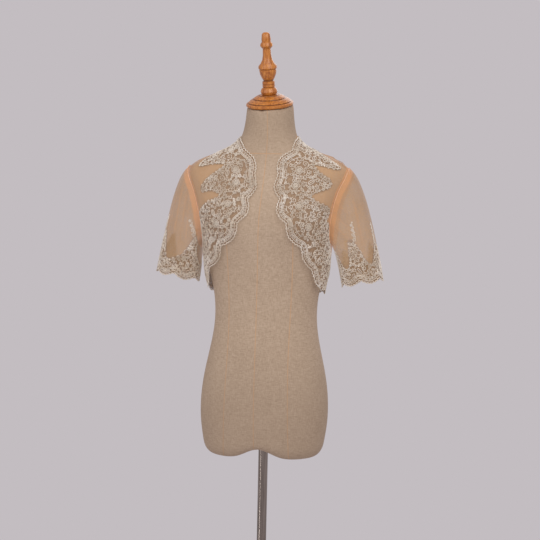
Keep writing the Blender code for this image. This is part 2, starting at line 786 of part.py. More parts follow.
def make_back(torso, look, collection):
    """The back: one piece from side seam to side seam."""
    shoulder, neck = SHOULDER_COLUMNS, NECK_COLUMNS
    columns = 2 * shoulder + neck
    left = outer_boundary(LEFT, BACK_ROWS, front=False)
    right = outer_boundary(RIGHT, BACK_ROWS, front=False)
    top = [between(left[0], back_neck(-1), k / shoulder) for k in range(shoulder)]
    top += [back_neck(2 * k / neck - 1) for k in range(neck)]
    top += [between(back_neck(1), right[0], k / shoulder) for k in range(shoulder + 1)]
    bottom = [back_hem(2 * k / columns - 1) for k in range(columns + 1)]
    bottom[0], bottom[-1] = left[-1], right[-1]
    shares = [k / columns for k in range(columns + 1)]
    mesh = panel_mesh("back", patch(top, bottom, left, right, shares), torso)
    add_object("back", mesh, look, collection)
    return tree_of(mesh)


def arc_columns(columns, notch):
    """Distances of the lace's columns: notch is 0 in the middle of a scallop and 1 in its notches."""
    return [*columns[:2], *[distance + ARC_DEEPER * notch for distance in columns[2:]]]


def lace_mesh(name, edge, reach, notches, windows, panel):
    """A lace wall from its scalloped edge to its inner boundary, raised where its cords lie."""
    places = []
    for start, end, notch in zip(edge, reach, notches):
        columns = arc_columns(LACE_COLUMNS, notch)
        ends = [cloth_point(*place) for place in (start, between(start, end, 0.5), end)]
        length = np.linalg.norm(ends[1] - ends[0]) + np.linalg.norm(ends[2] - ends[1])
        shrink = min(1.0, length / (columns[-1] * 1.5))
        shares = [distance * shrink / length for distance in columns]
        last = shares[-1]
        shares += [last + (1 - last) * k / LACE_INNER_COLUMNS for k in range(1, LACE_INNER_COLUMNS + 1)]
        places.append([between(start, end, share) for share in shares])
    base, normal, lifts = settle(places, TULLE + SEAM_GAP, panel)
    thick = np.full(lifts.shape, LACE)
    for i, j in np.ndindex(lifts.shape):
        if (i + j) % 2 and 0 < j < lifts.shape[1] - 1:
            thick[i, j] += LACE_RELIEF
    inner = base + lifts[..., None] * normal
    outer = base + (lifts + thick)[..., None] * normal
    return wall(name, inner, outer, windows=windows)


def make_front_lace(side, panel, look, collection):
    """The border and the sprays along one front edge."""
    steps = FRONT_LACE_STEPS
    edge = front_edge(side, steps, small=True)
    shares, turns, heights = [], [], []
    for row in REACHES[side]:
        on_seam = row.from_centre == SEAM
        outer = outer_turn(row.height, side, front=True)
        inset = LACE_INSET * (0 if row.height > ARMHOLE_TOP else 1) * (-1 if side == LEFT else 1)
        turn = outer + inset if on_seam else front_turn(row.from_centre, row.height, side)
        shares.append(row.share)
        turns.append(turn)
        heights.append(row.height)
    reach = []
    for share in front_shares(side, steps):
        reach.append((np.interp(share, shares, turns), np.interp(share, shares, heights)))
    windows = [(i, WINDOW_COLUMN) for i in range(FRONT_NO_WINDOW_STEPS, steps - FRONT_NO_WINDOW_STEPS, 2)]
    notches = [1 - scallop(front_notch_at(side, share)[2]) for share in front_shares(side, steps)]
    name = "lace_front_" + SIDE_NAMES[side]
    add_object(name, lace_mesh(name, edge, reach, notches, windows, panel), look, collection)


def make_back_neck_lace(panel, look, collection):
    """The border round the back neck, from shoulder seam to shoulder seam."""
    steps = NECK_LACE_STEPS
    edge, reach = [], []
    for k in range(steps + 1):
        across = 2 * k / steps - 1
        turn, height = back_neck(across)
        out = NECK_SCALLOP_DEPTH * scallop(k / steps * NECK_SCALLOPS) if 0 < k < steps else 0.0
        edge.append((turn, height + out + (small_scallop(k) if 0 < k < steps else 0.0)))
        reach.append((turn, NECK_LACE_LOW + (NECK_LACE_SEAM - NECK_LACE_LOW) * across * across))
    windows = [(i, NECK_WINDOW_COLUMN) for i in range(NO_WINDOW_STEPS, steps - NO_WINDOW_STEPS, 2)]
    mesh = lace_mesh("lace_back_neck", edge, reach, [0.0] * (steps + 1), windows, panel)
    add_object("lace_back_neck", mesh, look, collection)


def make_back_hem_lace(panel, look, collection):
    """The border along the back hem, with low sprays."""
    steps = STEPS_A_BACK_SCALLOP * BACK_SCALLOPS
    edge, reach = [], []
    for k in range(steps + 1):
        across = (2 * k / steps - 1) * (1 - LACE_INSET / 90)
        turn, height = back_hem(across, small_scallop(k))
        edge.append((turn, height))
        rise = max(s.reach * max(0.0, 1 - abs(across - s.place) / s.spread) for s in BACK_SPRAYS)
        reach.append((turn, SIDE_HEM + BACK_BORDER + rise))
    windows = [(i, WINDOW_COLUMN) for i in range(NO_WINDOW_STEPS, steps - NO_WINDOW_STEPS, 2)]
    notches = [1 - scallop(k / STEPS_A_BACK_SCALLOP) for k in range(steps + 1)]
    mesh = lace_mesh("lace_back_hem", edge, reach, notches, windows, panel)
    add_object("lace_back_hem", mesh, look, collection)


def sleeve_middle(side, place, share):
    """A point half way through the sleeve's wall: share is 0 at the armhole and 1 at the hem."""
    up, ahead = math.sin(math.radians(place)), math.cos(math.radians(place))
    middle = (ARMHOLE_TOP + ARMHOLE_BOTTOM) / 2
    height = middle + (ARMHOLE_TOP - middle) * up
    turn = outer_turn(height, side, front=ahead > 0)
    normal = form_normal(turn, height)
    start = cloth_point(turn, height, TULLE / 2 + SLEEVE_OFF_PANEL)
    inward = np.array([start[0], 0.0, middle]) - start
    inward -= normal * (inward @ normal)
    start = start + SEAM_GAP * inward / np.linalg.norm(inward)
    hem = HEMS[side]
    tilt = math.radians(hem.tilt)
    outward = np.array([side * math.cos(tilt), 0.0, math.sin(tilt)])
    down = np.array([side * math.sin(tilt), 0.0, -math.cos(tilt)])
    drop = SLEEVE_SCALLOP_DEPTH * (scallop(place / 360 * SLEEVE_SCALLOPS) - 0.5)
    end = np.array([side * hem.from_centre, -hem.forward, hem.height]) + drop * down
    end = end + hem.half_width * up * outward - np.array([0.0, hem.half_depth * ahead, 0.0])
    over_top = max(up, 0.0) ** 1.2
    leave = over_top * np.array([side * CAP_OUT, 0.0, -CAP_DOWN])
    leave = leave + (1 - over_top) * down + (SIDE_SPREAD + UNDERARM_SPREAD * max(-up, 0.0)) * normal
    leave = leave / np.linalg.norm(leave) * (UNDERARM_PULL + (CAP_PULL - UNDERARM_PULL) * (up + 1) / 2)
    arrive = down * HEM_PULL * np.linalg.norm(end - start)
    t = share
    ends = (2 * t**3 - 3 * t**2 + 1) * start + (3 * t**2 - 2 * t**3) * end
    return ends + (t**3 - 2 * t**2 + t) * leave + (t**3 - t**2) * arrive


def sleeve_point(side, place, share, lift):
    """A point of the sleeve, moved out from the middle of its wall."""
    before, after = max(share - 0.02, 0.0), min(share + 0.02, 1.0)
    step_down = sleeve_middle(side, place, after) - sleeve_middle(side, place, before)
    step_round = sleeve_middle(side, place + 2, share) - sleeve_middle(side, place - 2, share)
    normal = side * np.cross(step_down, step_round)
    normal /= np.linalg.norm(normal)
    fold = sum(f.depth * dip((place - f.place + 180) % 360 - 180, f.spread) for f in SLEEVE_FOLDS[side])
    fold *= min(share / FOLD_STARTS, 1.0) * (1 - FOLD_LOST_AT_HEM * share)
    return sleeve_middle(side, place, share) + (lift - fold) * normal


def make_sleeve(side, look, collection):
    """A sleeve: a tube from the armhole to the scalloped hem."""
    skins = []
    places = [360 * j / SLEEVE_COLUMNS for j in range(SLEEVE_COLUMNS)]
    for lift in (-TULLE / 2, TULLE / 2):
        rows = []
        for i in range(SLEEVE_ROWS + 1):
            share = 1 - (1 - i / SLEEVE_ROWS) ** ROWS_CLOSER_AT_HEM
            rows.append([sleeve_point(side, place, share, lift) for place in places])
        skins.append(rows)
    name = "sleeve_" + SIDE_NAMES[side]
    add_object(name, wall(name, *skins, closed=True), look, collection)


def share_above(side, place, distance):
    """The share down the sleeve of a place that is so far above the hem."""
    shares = np.linspace(1.0, 0.0, 15)
    points = [sleeve_middle(side, place, share) for share in shares]
    along = np.concatenate([[0], np.cumsum([np.linalg.norm(b - a) for a, b in zip(points, points[1:])])])
    return float(np.interp(min(distance, along[-1] - SPRAY_CLEAR), along, shares))


def make_sleeve_lace(side, look, collection):
    """The border and the sprays round one sleeve hem, in a front and a back half."""
    half_steps = SLEEVE_LACE_STEPS // 2
    for half, first in (("front", -90.0), ("back", 90.0)):
        inner, outer = [], []
        for k in range(half_steps + 1):
            place = first + 180 * k / half_steps
            if k in (0, half_steps):
                place += SLEEVE_LACE_GAP if k == 0 else -SLEEVE_LACE_GAP
            away = [abs((place - s.place + 180) % 360 - 180) / s.spread for s in SLEEVE_SPRAYS[side]]
            rise = max(s.reach * max(0.0, 1 - a) ** SPRAY_POINTED for s, a in zip(SLEEVE_SPRAYS[side], away))
            top = SLEEVE_BORDER + rise
            notch = 1 - scallop(place / 360 * SLEEVE_SCALLOPS)
            distances = [small_scallop(k) + SMALL_SCALLOP, *arc_columns(LACE_COLUMNS, notch)[1:]]
            distances += [distances[-1] + (top - distances[-1]) * n / 2 for n in (1, 2)]
            shares = [share_above(side, place, distance) for distance in distances]
            lift = SLEEVE_LACE_LIFT - TULLE / 2
            inner.append([sleeve_point(side, place, share, lift) for share in shares])
            outer.append([])
            for j, share in enumerate(shares):
                raised = LACE_RELIEF if (k + j) % 2 and 0 < j < len(shares) - 1 else 0.0
                outer[-1].append(sleeve_point(side, place, share, lift + LACE + raised))
        windows = [(k, WINDOW_COLUMN) for k in range(1, half_steps - 1, 2)]
        name = f"lace_sleeve_{SIDE_NAMES[side]}_{half}"
        add_object(name, wall(name, inner, outer, windows=windows), look, collection)


def main():
    clear_scene()
    collection = bpy.data.collections.new("bolero_on_dress_form")
    bpy.context.scene.collection.children.link(collection)
    looks = {
        "linen": material("linen", "BFA88E", 0.9),
        "wood": material("varnished wood", "C98443", 0.35),
        "chrome": material("chrome", "C9CBD0", 0.12, 1.0),
        "steel": material("satin steel", "B4B6BA", 0.35, 1.0),
        "tulle": material("peach tulle", "D8AE85", 0.8),
        "lace": material("corded lace", "CDBFAC", 0.7),
    }
    torso = make_torso(looks["linen"], collection)
    make_neck_wood(looks["wood"], collection)
    make_stand(looks, collection)
    back = make_back(torso, looks["tulle"], collection)
    make_back_neck_lace(back, looks["lace"], collection)
    make_back_hem_lace(back, looks["lace"], collection)
    for side in (LEFT, RIGHT):
        front = make_front(side, torso, looks["tulle"], collection)
        make_front_lace(side, front, looks["lace"], collection)
        make_sleeve(side, looks["tulle"], collection)
        make_sleeve_lace(side, looks["lace"], collection)


main()
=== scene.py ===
# %% [markdown]
# # Bolero jacket of tulle and corded lace on its dress form
# The jacket is sheer peach tulle with thick corded lace sewn along every edge. It hangs on a
# limbless linen form with a turned wooden cap and a chrome pole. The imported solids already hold
# the cut of the jacket, so this lesson gives each one its cloth, cords, grain and light.

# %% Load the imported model
import math
import random
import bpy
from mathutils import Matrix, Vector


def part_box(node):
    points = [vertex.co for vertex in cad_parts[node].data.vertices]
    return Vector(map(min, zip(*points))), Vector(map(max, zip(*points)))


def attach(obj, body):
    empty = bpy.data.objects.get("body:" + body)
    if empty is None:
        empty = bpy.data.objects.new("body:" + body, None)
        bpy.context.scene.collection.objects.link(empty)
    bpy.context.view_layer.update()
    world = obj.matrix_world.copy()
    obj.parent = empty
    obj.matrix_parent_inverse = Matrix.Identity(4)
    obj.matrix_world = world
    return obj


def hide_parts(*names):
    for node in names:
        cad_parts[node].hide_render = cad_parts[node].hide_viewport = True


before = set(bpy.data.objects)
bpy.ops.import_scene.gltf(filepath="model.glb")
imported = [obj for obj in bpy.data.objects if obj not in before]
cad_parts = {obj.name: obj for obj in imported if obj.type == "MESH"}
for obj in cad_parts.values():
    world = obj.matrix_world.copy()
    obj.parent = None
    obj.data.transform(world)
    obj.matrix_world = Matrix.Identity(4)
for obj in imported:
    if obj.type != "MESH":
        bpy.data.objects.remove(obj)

from types import SimpleNamespace

import bmesh
import bpy
from mathutils import Matrix, Vector
from mathutils.bvhtree import BVHTree
from mathutils.kdtree import KDTree

for name in ("Cube", "Light", "Camera"):
    spare = bpy.data.objects.get(name)
    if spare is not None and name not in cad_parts:
        bpy.data.objects.remove(spare)

MM = 0.001
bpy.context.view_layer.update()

# %% [markdown]
# Every finish below is a small tree of nodes. One helper adds a node with its settings and its
# links, so that a material reads as a list of what it is made of. Colours are picked as sRGB hex
# values, which is how a swatch is read, and shaders want linear light, so one function turns them.


# %% Colour and node helpers
def colour(code):
    """Linear RGBA from an sRGB hex value."""
    parts = [int(code[i:i + 2], 16) / 255 for i in (1, 3, 5)]
    return (*[p / 12.92 if p <= 0.04045 else ((p + 0.055) / 1.055) ** 2.4 for p in parts], 1.0)


def add_node(tree, kind, links=None, **settings):
    """A node with its settings; links gives each input a socket or a plain value."""
    node = tree.nodes.new(kind)
    for name, value in settings.items():
        setattr(node, name, value)
    for name, value in (links or {}).items():
        if isinstance(value, bpy.types.NodeSocket):
            tree.links.new(value, node.inputs[name])
        else:
            node.inputs[name].default_value = value
    return node


def new_material(name, roughness, metallic=0.0):
    """A material with its shader and its Object coordinates."""
    made = bpy.data.materials.new(name)
    made.use_nodes = True
    tree = made.node_tree
    shader = tree.nodes["Principled BSDF"]
    shader.inputs["Roughness"].default_value = roughness
    shader.inputs["Metallic"].default_value = metallic
    place = add_node(tree, "ShaderNodeTexCoord").outputs["Object"]
    return made, tree, shader, place


def swatches(tree, factor, low, high, stops):
    """The base colour of a finish: a factor, from low to high, runs through (position, code) swatches."""
    spread = add_node(tree, "ShaderNodeMapRange", {0: factor, 1: low, 2: high})
    node = add_node(tree, "ShaderNodeValToRGB", {0: spread.outputs[0]})
    while len(node.color_ramp.elements) < len(stops):
        node.color_ramp.elements.new(0.5)
    for element, (position, code) in zip(node.color_ramp.elements, stops):
        element.position = position
        element.color = colour(code)
    return node.outputs[0]


print("helpers ready")

# %% [markdown]
# The form is covered in coarse linen, cut in panels. A weave is two noises stretched across each
# other, one for the warp and one for the weft. Real linen threads are about 0.7 mm apart, which is
# finer than a pixel here, so the slubs are drawn about 1.5 mm wide. The panel seams follow a curve of
# x against height, and a Float Curve node holds that curve, so the line stays sharp at any size.
# The cloth is painted darker round the hips and at the neck, as painted shade.

# %% Linen of the form
SEAM_LINES = {
    "centre": [(700, -7), (914, -8), (1046, -8), (1224, -4), (1391, 5), (1520, 2)],
    "princess left": [(700, 71), (830, 68), (959, 66), (1181, 73), (1300, 76), (1520, 50)],
    "princess right": [(700, -80), (830, -77), (998, -73), (1177, -77), (1300, -80), (1520, -52)],
}
FORM_LOW, FORM_HIGH, SEAM_SPAN = 0.700, 1.520, 0.100
SEAM_HALF, SEAM_EDGE = 0.0005, 0.0014
NECK_SEAM_HEIGHT, NECK_SEAM_HALF = 1.3945, 0.0011
NECK_SEAM_MIDDLE, NECK_SEAM_REACH = 0.002, 0.037
# Painted shade: heights where the linen darkens towards the hips and the neck, and how much it darkens.
HIP_SHADE_TOP, HIP_SHADE_LOW = 1.02, 0.80
NECK_SHADE_LOW, NECK_SHADE_TOP = 1.34, 1.42
MOST_PAINTED_SHADE = 0.3


def seam_mask(tree, along, across, points):
    """1 on a seam line, falling to 0 beside it."""
    height = add_node(tree, "ShaderNodeMapRange", {0: along, 1: FORM_LOW, 2: FORM_HIGH})
    curve = add_node(tree, "ShaderNodeFloatCurve", {"Value": height.outputs[0]})
    line = curve.mapping.curves[0]
    spread = [((z * MM - FORM_LOW) / (FORM_HIGH - FORM_LOW), x * MM / SEAM_SPAN / 2 + 0.5) for z, x in points]
    line.points[0].location = spread[0]
    line.points[1].location = spread[-1]
    for spot in spread[1:-1]:
        line.points.new(*spot)
    curve.mapping.update()
    wide = add_node(tree, "ShaderNodeMapRange", {0: curve.outputs[0], 3: -SEAM_SPAN, 4: SEAM_SPAN})
    off = add_node(tree, "ShaderNodeMath", {0: across, 1: wide.outputs[0]}, operation="SUBTRACT")
    away = add_node(tree, "ShaderNodeMath", {0: off.outputs[0]}, operation="ABSOLUTE")
    near = add_node(tree, "ShaderNodeMapRange", {0: away.outputs[0], 1: SEAM_HALF, 2: SEAM_EDGE,
                                                     3: 1.0, 4: 0.0})
    return near.outputs[0]


linen, tree, shader, place = new_material("linen woven natural", 0.92)
# Threads run up and round the form: 1.6 mm across a slub, and about 9 mm along it.
upright = add_node(tree, "ShaderNodeMapping", {"Vector": place, "Scale": (640, 640, 110)})
level = add_node(tree, "ShaderNodeMapping", {"Vector": place, "Scale": (110, 110, 640)})
warp = add_node(tree, "ShaderNodeTexNoise", {"Vector": upright.outputs[0], "Scale": 1.0})
weft = add_node(tree, "ShaderNodeTexNoise", {"Vector": level.outputs[0], "Scale": 1.0})
weave = add_node(tree, "ShaderNodeMath", {0: warp.outputs[0], 1: weft.outputs[0]}, operation="ADD")
cloud = add_node(tree, "ShaderNodeTexNoise", {"Vector": place, "Scale": 9.0, "Detail": 3.0})
tone = add_node(tree, "ShaderNodeMath", {0: cloud.outputs[0], 1: 0.35, 2: 0.0}, operation="MULTIPLY_ADD")
mixed = add_node(tree, "ShaderNodeMath", {0: weave.outputs[0], 1: tone.outputs[0]}, operation="ADD")
base = swatches(tree, mixed.outputs[0], 0.8, 1.6, [(0.0, "#A38D76"), (0.5, "#B7A189"), (1.0, "#C6B19A")])
axes = add_node(tree, "ShaderNodeSeparateXYZ", {0: place})
seams = None
for points in SEAM_LINES.values():
    mask = seam_mask(tree, axes.outputs[2], axes.outputs[0], points)
    if seams is not None:
        mask = add_node(tree, "ShaderNodeMath", {0: seams, 1: mask}, operation="MAXIMUM").outputs[0]
    seams = mask
# A short seam crosses the front of the neck, where the neck piece is sewn to the bust.
band = add_node(tree, "ShaderNodeMath", {0: axes.outputs[2], 1: NECK_SEAM_HEIGHT, 2: NECK_SEAM_HALF},
                operation="COMPARE")
narrow = add_node(tree, "ShaderNodeMath", {0: axes.outputs[0], 1: NECK_SEAM_MIDDLE, 2: NECK_SEAM_REACH},
                  operation="COMPARE")
ahead = add_node(tree, "ShaderNodeMath", {0: axes.outputs[1], 1: 0.0}, operation="LESS_THAN")
there = add_node(tree, "ShaderNodeMath", {0: narrow.outputs[0], 1: ahead.outputs[0]}, operation="MULTIPLY")
neck_seam = add_node(tree, "ShaderNodeMath", {0: band.outputs[0], 1: there.outputs[0]}, operation="MULTIPLY")
seams = add_node(tree, "ShaderNodeMath", {0: seams, 1: neck_seam.outputs[0]}, operation="MAXIMUM").outputs[0]
seam_colour = add_node(tree, "ShaderNodeMix", {0: seams, 6: base, 7: colour("#CA9E74")}, data_type="RGBA")
seam_share = add_node(tree, "ShaderNodeMath", {0: seams, 1: 0.6}, operation="MULTIPLY")
tree.links.new(seam_share.outputs[0], seam_colour.inputs[0])
# Painted shade: a darker brown is mixed in towards the hips and towards the neck.
hip_painted_shade = add_node(tree, "ShaderNodeMapRange", {0: axes.outputs[2], 1: HIP_SHADE_TOP, 2: HIP_SHADE_LOW,
                                                 3: 0.0, 4: MOST_PAINTED_SHADE}, interpolation_type="SMOOTHSTEP")
neck_painted_shade = add_node(tree, "ShaderNodeMapRange", {0: axes.outputs[2], 1: NECK_SHADE_LOW, 2: NECK_SHADE_TOP,
                                                  3: 0.0, 4: MOST_PAINTED_SHADE})
painted_shade = add_node(tree, "ShaderNodeMath", {0: hip_painted_shade.outputs[0], 1: neck_painted_shade.outputs[0]}, operation="ADD")
linen_with_painted_shade = add_node(tree, "ShaderNodeMix", {0: painted_shade.outputs[0], 6: seam_colour.outputs[2], 7: colour("#8F7B66")},
                data_type="RGBA")
tree.links.new(linen_with_painted_shade.outputs[2], shader.inputs["Base Color"])
sunk = add_node(tree, "ShaderNodeMath", {0: weave.outputs[0], 1: seams}, operation="SUBTRACT")
bump = add_node(tree, "ShaderNodeBump", {"Height": sunk.outputs[0], "Strength": 0.35, "Distance": 0.0006})
tree.links.new(bump.outputs[0], shader.inputs["Normal"])
print("linen with", len(SEAM_LINES), "seam lines")

# %% [markdown]
# The cap and finial are varnished beech-like wood. The grain runs along the turning axis, so the
# noise is stretched along it, and a clear coat gives the varnish its second, sharper highlight. The
# grooves are painted darker, as painted shade in their hollows. The pole is chromed tube, and the
# foot is steel plate with a powder coat, which has a fine grain and no mirror image.

# %% Varnished wood, chrome and steel
wood, tree, shader, place = new_material("beech turned and varnished", 0.38)
# Grain lines about 4 mm apart that run 60 mm up the turning.
along_grain = add_node(tree, "ShaderNodeMapping", {"Vector": place, "Scale": (280, 280, 16)})
fibre = add_node(tree, "ShaderNodeTexNoise", {"Vector": along_grain.outputs[0], "Scale": 1.0,
                                              "Detail": 5.0, "Distortion": 0.4})
base = swatches(tree, fibre.outputs[0], 0.3, 0.7, [(0.0, "#914F1B"), (0.45, "#B56D29"), (1.0, "#D18A3A")])
# Painted shade: the rows inside the grooves are darkened towards a deep brown.
groove_shade = add_node(tree, "ShaderNodeAttribute", attribute_name="groove_shade").outputs["Fac"]
groove_shaded = add_node(tree, "ShaderNodeMix", {0: groove_shade, 6: base, 7: colour("#5E300F")}, data_type="RGBA")
tree.links.new(groove_shaded.outputs[2], shader.inputs["Base Color"])
shader.inputs["Coat Weight"].default_value = 0.18
shader.inputs["Coat Roughness"].default_value = 0.15
bump = add_node(tree, "ShaderNodeBump", {"Height": fibre.outputs[0], "Strength": 0.15, "Distance": 0.0003})
tree.links.new(bump.outputs[0], shader.inputs["Normal"])

chrome, tree, shader, place = new_material("steel tube chromed", 0.12, metallic=1.0)
# A faint haze drawn out along the tube keeps the mirror from looking perfect.
along_tube = add_node(tree, "ShaderNodeMapping", {"Vector": place, "Scale": (300, 300, 12)})
haze = add_node(tree, "ShaderNodeTexNoise", {"Vector": along_tube.outputs[0], "Scale": 1.0})
base = swatches(tree, haze.outputs[0], 0.3, 0.7, [(0.0, "#776D66"), (1.0, "#9C9189")])
tree.links.new(base, shader.inputs["Base Color"])

steel, tree, shader, place = new_material("steel plate powder coated", 0.5, metallic=0.6)
# The coat's orange-peel grain is about 1 mm.
grit = add_node(tree, "ShaderNodeTexNoise", {"Vector": place, "Scale": 900.0, "Detail": 2.0})
base = swatches(tree, grit.outputs[0], 0.3, 0.7, [(0.0, "#5E5955"), (1.0, "#7C7672")])
tree.links.new(base, shader.inputs["Base Color"])
bump = add_node(tree, "ShaderNodeBump", {"Height": grit.outputs[0], "Strength": 0.3, "Distance": 0.0003})
tree.links.new(bump.outputs[0], shader.inputs["Normal"])
print("wood, chrome and steel ready")

# %% [markdown]
# Tulle is a net of fine nylon, so most of what the eye meets is hole. Its threads are about 1.2 mm
# apart, finer than a pixel, so the net is drawn a little coarser as cells whose walls are denser
# than their middles. Beside a seam the cloth lies double, and it covers more: an attribute on the
# mesh holds how near each point is to a seam, and the cover rises with it. A second attribute marks
# where lace lies on the tulle and just beside it, and there the tulle is painted dark brown as a
# painted shadow of the lace, so the holes of the lace look dark.


# %% Tulle and lace ground
def net_material(name, code, seam_code, cover, seam_cover, cell):
    """Sheer net: cover is how much of the background the cloth hides, away from and at seams."""
    made, tree, shader, place = new_material(name, 0.75)
    cells = add_node(tree, "ShaderNodeTexVoronoi", {"Vector": place, "Scale": 1 / (cell * MM)},
                     feature="DISTANCE_TO_EDGE")
    wall = add_node(tree, "ShaderNodeMapRange", {0: cells.outputs[0], 1: 0.05, 2: 0.35, 3: 0.12, 4: -0.08})
    folds = add_node(tree, "ShaderNodeTexNoise", {"Vector": place, "Scale": 22.0, "Detail": 2.0})
    soft = add_node(tree, "ShaderNodeMapRange", {0: folds.outputs[0], 1: 0.3, 2: 0.7, 3: -0.05, 4: 0.05})
    seam = add_node(tree, "ShaderNodeAttribute", attribute_name="seam").outputs["Fac"]
    held = add_node(tree, "ShaderNodeMapRange", {0: seam, 3: cover, 4: seam_cover})
    total = add_node(tree, "ShaderNodeMath", {0: wall.outputs[0], 1: soft.outputs[0]}, operation="ADD")
    alpha = add_node(tree, "ShaderNodeMath", {0: total.outputs[0], 1: held.outputs[0]}, operation="ADD",
                     use_clamp=True)
    tint = add_node(tree, "ShaderNodeMix", {0: seam, 6: colour(code), 7: colour(seam_code)}, data_type="RGBA")
    # Painted shadow of the lace: near lace the tint turns dark brown.
    under = add_node(tree, "ShaderNodeAttribute", attribute_name="painted_lace_shadow").outputs["Fac"]
    lace_shadowed_tint = add_node(tree, "ShaderNodeMix", {0: under, 6: tint.outputs[2], 7: colour("#927353")},
                    data_type="RGBA")
    tree.links.new(lace_shadowed_tint.outputs[2], shader.inputs["Base Color"])
    tree.links.new(alpha.outputs[0], shader.inputs["Alpha"])
    shader.inputs["Sheen Weight"].default_value = 0.3
    shader.inputs["Sheen Roughness"].default_value = 0.4
    bump = add_node(tree, "ShaderNodeBump", {"Height": cells.outputs[0], "Strength": 0.2, "Distance": 0.0004})
    tree.links.new(bump.outputs[0], shader.inputs["Normal"])
    return made


# Peach tulle hides half of what lies behind it and turns clearer peach where it lies double.
# The sleeves get a darker copy of it: painted shade on the sleeves.
tulle = net_material("nylon tulle peach", "#BF9262", "#D79D69", 0.50, 0.72, 1.9)
sleeve_tulle_shaded = net_material("nylon tulle peach, hanging free", "#B8905F", "#D69A64", 0.47, 0.66, 1.9)
# The net under the lace is browner, and darker than that brown as painted shade between the cords, so
# the pale cords stand out from it; its cut rim is thinner. The sleeves' net is darker again: painted
# shade on the sleeves.
lace_ground_painted_shade = net_material("nylon net under the lace, brown with painted shade", "#967A60", "#9C8066", 0.46, 0.22, 2.1)
sleeve_ground_painted_shade = net_material("nylon net under the sleeve lace, with painted shade", "#8F7150", "#977A5A", 0.50, 0.24, 2.1)

# Rayon cord is ivory with a soft shine: twisted threads about 1.4 mm long, and patches of age
# about 30 mm wide.
cord_thread, tree, shader, place = new_material("rayon cord stitched", 0.42)
twist = add_node(tree, "ShaderNodeTexNoise", {"Vector": place, "Scale": 700.0, "Detail": 2.0})
age = add_node(tree, "ShaderNodeTexNoise", {"Vector": place, "Scale": 30.0, "Detail": 2.0})
both = add_node(tree, "ShaderNodeMath", {0: twist.outputs[0], 1: age.outputs[0]}, operation="ADD")
base = swatches(tree, both.outputs[0], 0.7, 1.3, [(0.0, "#CDBDA6"), (0.5, "#E6DAC8"), (1.0, "#F8F1E5")])
tree.links.new(base, shader.inputs["Base Color"])
shader.inputs["Sheen Weight"].default_value = 0.35
shader.inputs["Sheen Roughness"].default_value = 0.35
bump = add_node(tree, "ShaderNodeBump", {"Height": twist.outputs[0], "Strength": 0.4, "Distance": 0.0003})
tree.links.new(bump.outputs[0], shader.inputs["Normal"])
print("tulle, lace ground and cord ready")

# %% [markdown]
# Each soft solid is a thin wall with an outside and an inside. Real tulle is a single layer, so the
# scene keeps only the outer skin. A copy of the solid is merged, its rim is cut away, and of the two
# skins that are left the outer one is kept. Subdivision rounds its facets: one level for the net of
# the laces, two for the linen and three for the tulle, which carries folds a few millimetres wide.


# %% Skins of the solids
def merged(node):
    """A welded copy of a solid."""
    bm = bmesh.new()
    bm.from_mesh(bpy.data.objects[node].data)
    bmesh.ops.remove_doubles(bm, verts=bm.verts, dist=1e-6)
    bm.normal_update()
    return bm


def tree_from(bm):
    """A search tree of a mesh."""
    copy = bm.copy()
    bmesh.ops.triangulate(copy, faces=copy.faces)
    found = BVHTree.FromBMesh(copy)
    copy.free()
    return found


def rounded(bm, levels):
    """The mesh in quads, rounded by that many levels of subdivision."""
    bmesh.ops.join_triangles(bm, faces=bm.faces, angle_face_threshold=0.9, angle_shape_threshold=1.4)
    mesh = bpy.data.meshes.new("draft")
    bm.to_mesh(mesh)
    bm.free()
    draft = bpy.data.objects.new("draft", mesh)
    bpy.context.scene.collection.objects.link(draft)
    finer = draft.modifiers.new("round", "SUBSURF")
    finer.levels = finer.render_levels = levels
    finer.boundary_smooth = "PRESERVE_CORNERS"
    graph = bpy.context.evaluated_depsgraph_get()
    result = bmesh.new()
    result.from_mesh(bpy.data.meshes.new_from_object(draft.evaluated_get(graph)))
    bpy.data.objects.remove(draft)
    bpy.data.meshes.remove(mesh)
    result.normal_update()
    return result


def keep_outer(bm, outward):
    """Only the faces that look outwards: outward gives that direction at a point."""
    inner = [f for f in bm.faces if f.normal.dot(outward(f.calc_center_median())) < 0.35]
    bmesh.ops.delete(bm, geom=inner, context="FACES")
    return bm


def set_height(point, tree, lift):
    """The point moved along the surface's normal to lie that far above it."""
    found, normal, _, _ = tree.find_nearest(point)
    return point + normal * (lift - (point - found).dot(normal)), normal


def finish_piece(name, bm, look, nodes=()):
    """A finished piece on the root body."""
    mesh = bpy.data.meshes.new(name)
    bm.to_mesh(mesh)
    bm.free()
    made = bpy.data.objects.new(name, mesh)
    bpy.context.scene.collection.objects.link(made)
    mesh.materials.append(look)
    for face in mesh.polygons:
        face.use_smooth = True
    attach(made, "root")
    if nodes:
        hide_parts(*nodes)
    print(name, len(mesh.polygons), "faces")
    return made


# %% [markdown]
# The torso keeps the solid's form. Two levels of subdivision take away its facets.

# %% The torso
bm = rounded(merged("form_torso"), 2)
form_tree = tree_from(bm)
finish_piece("linen_torso", bm, linen, ["form_torso"])

# %% [markdown]
# Turned wood is a profile spun round its axis, just as on a lathe. The profile is a chain of edges,
# and spin with use_merge closes it into a smooth body. The neck is tilted a little, so the finished
# pieces are turned to that axis at the end.

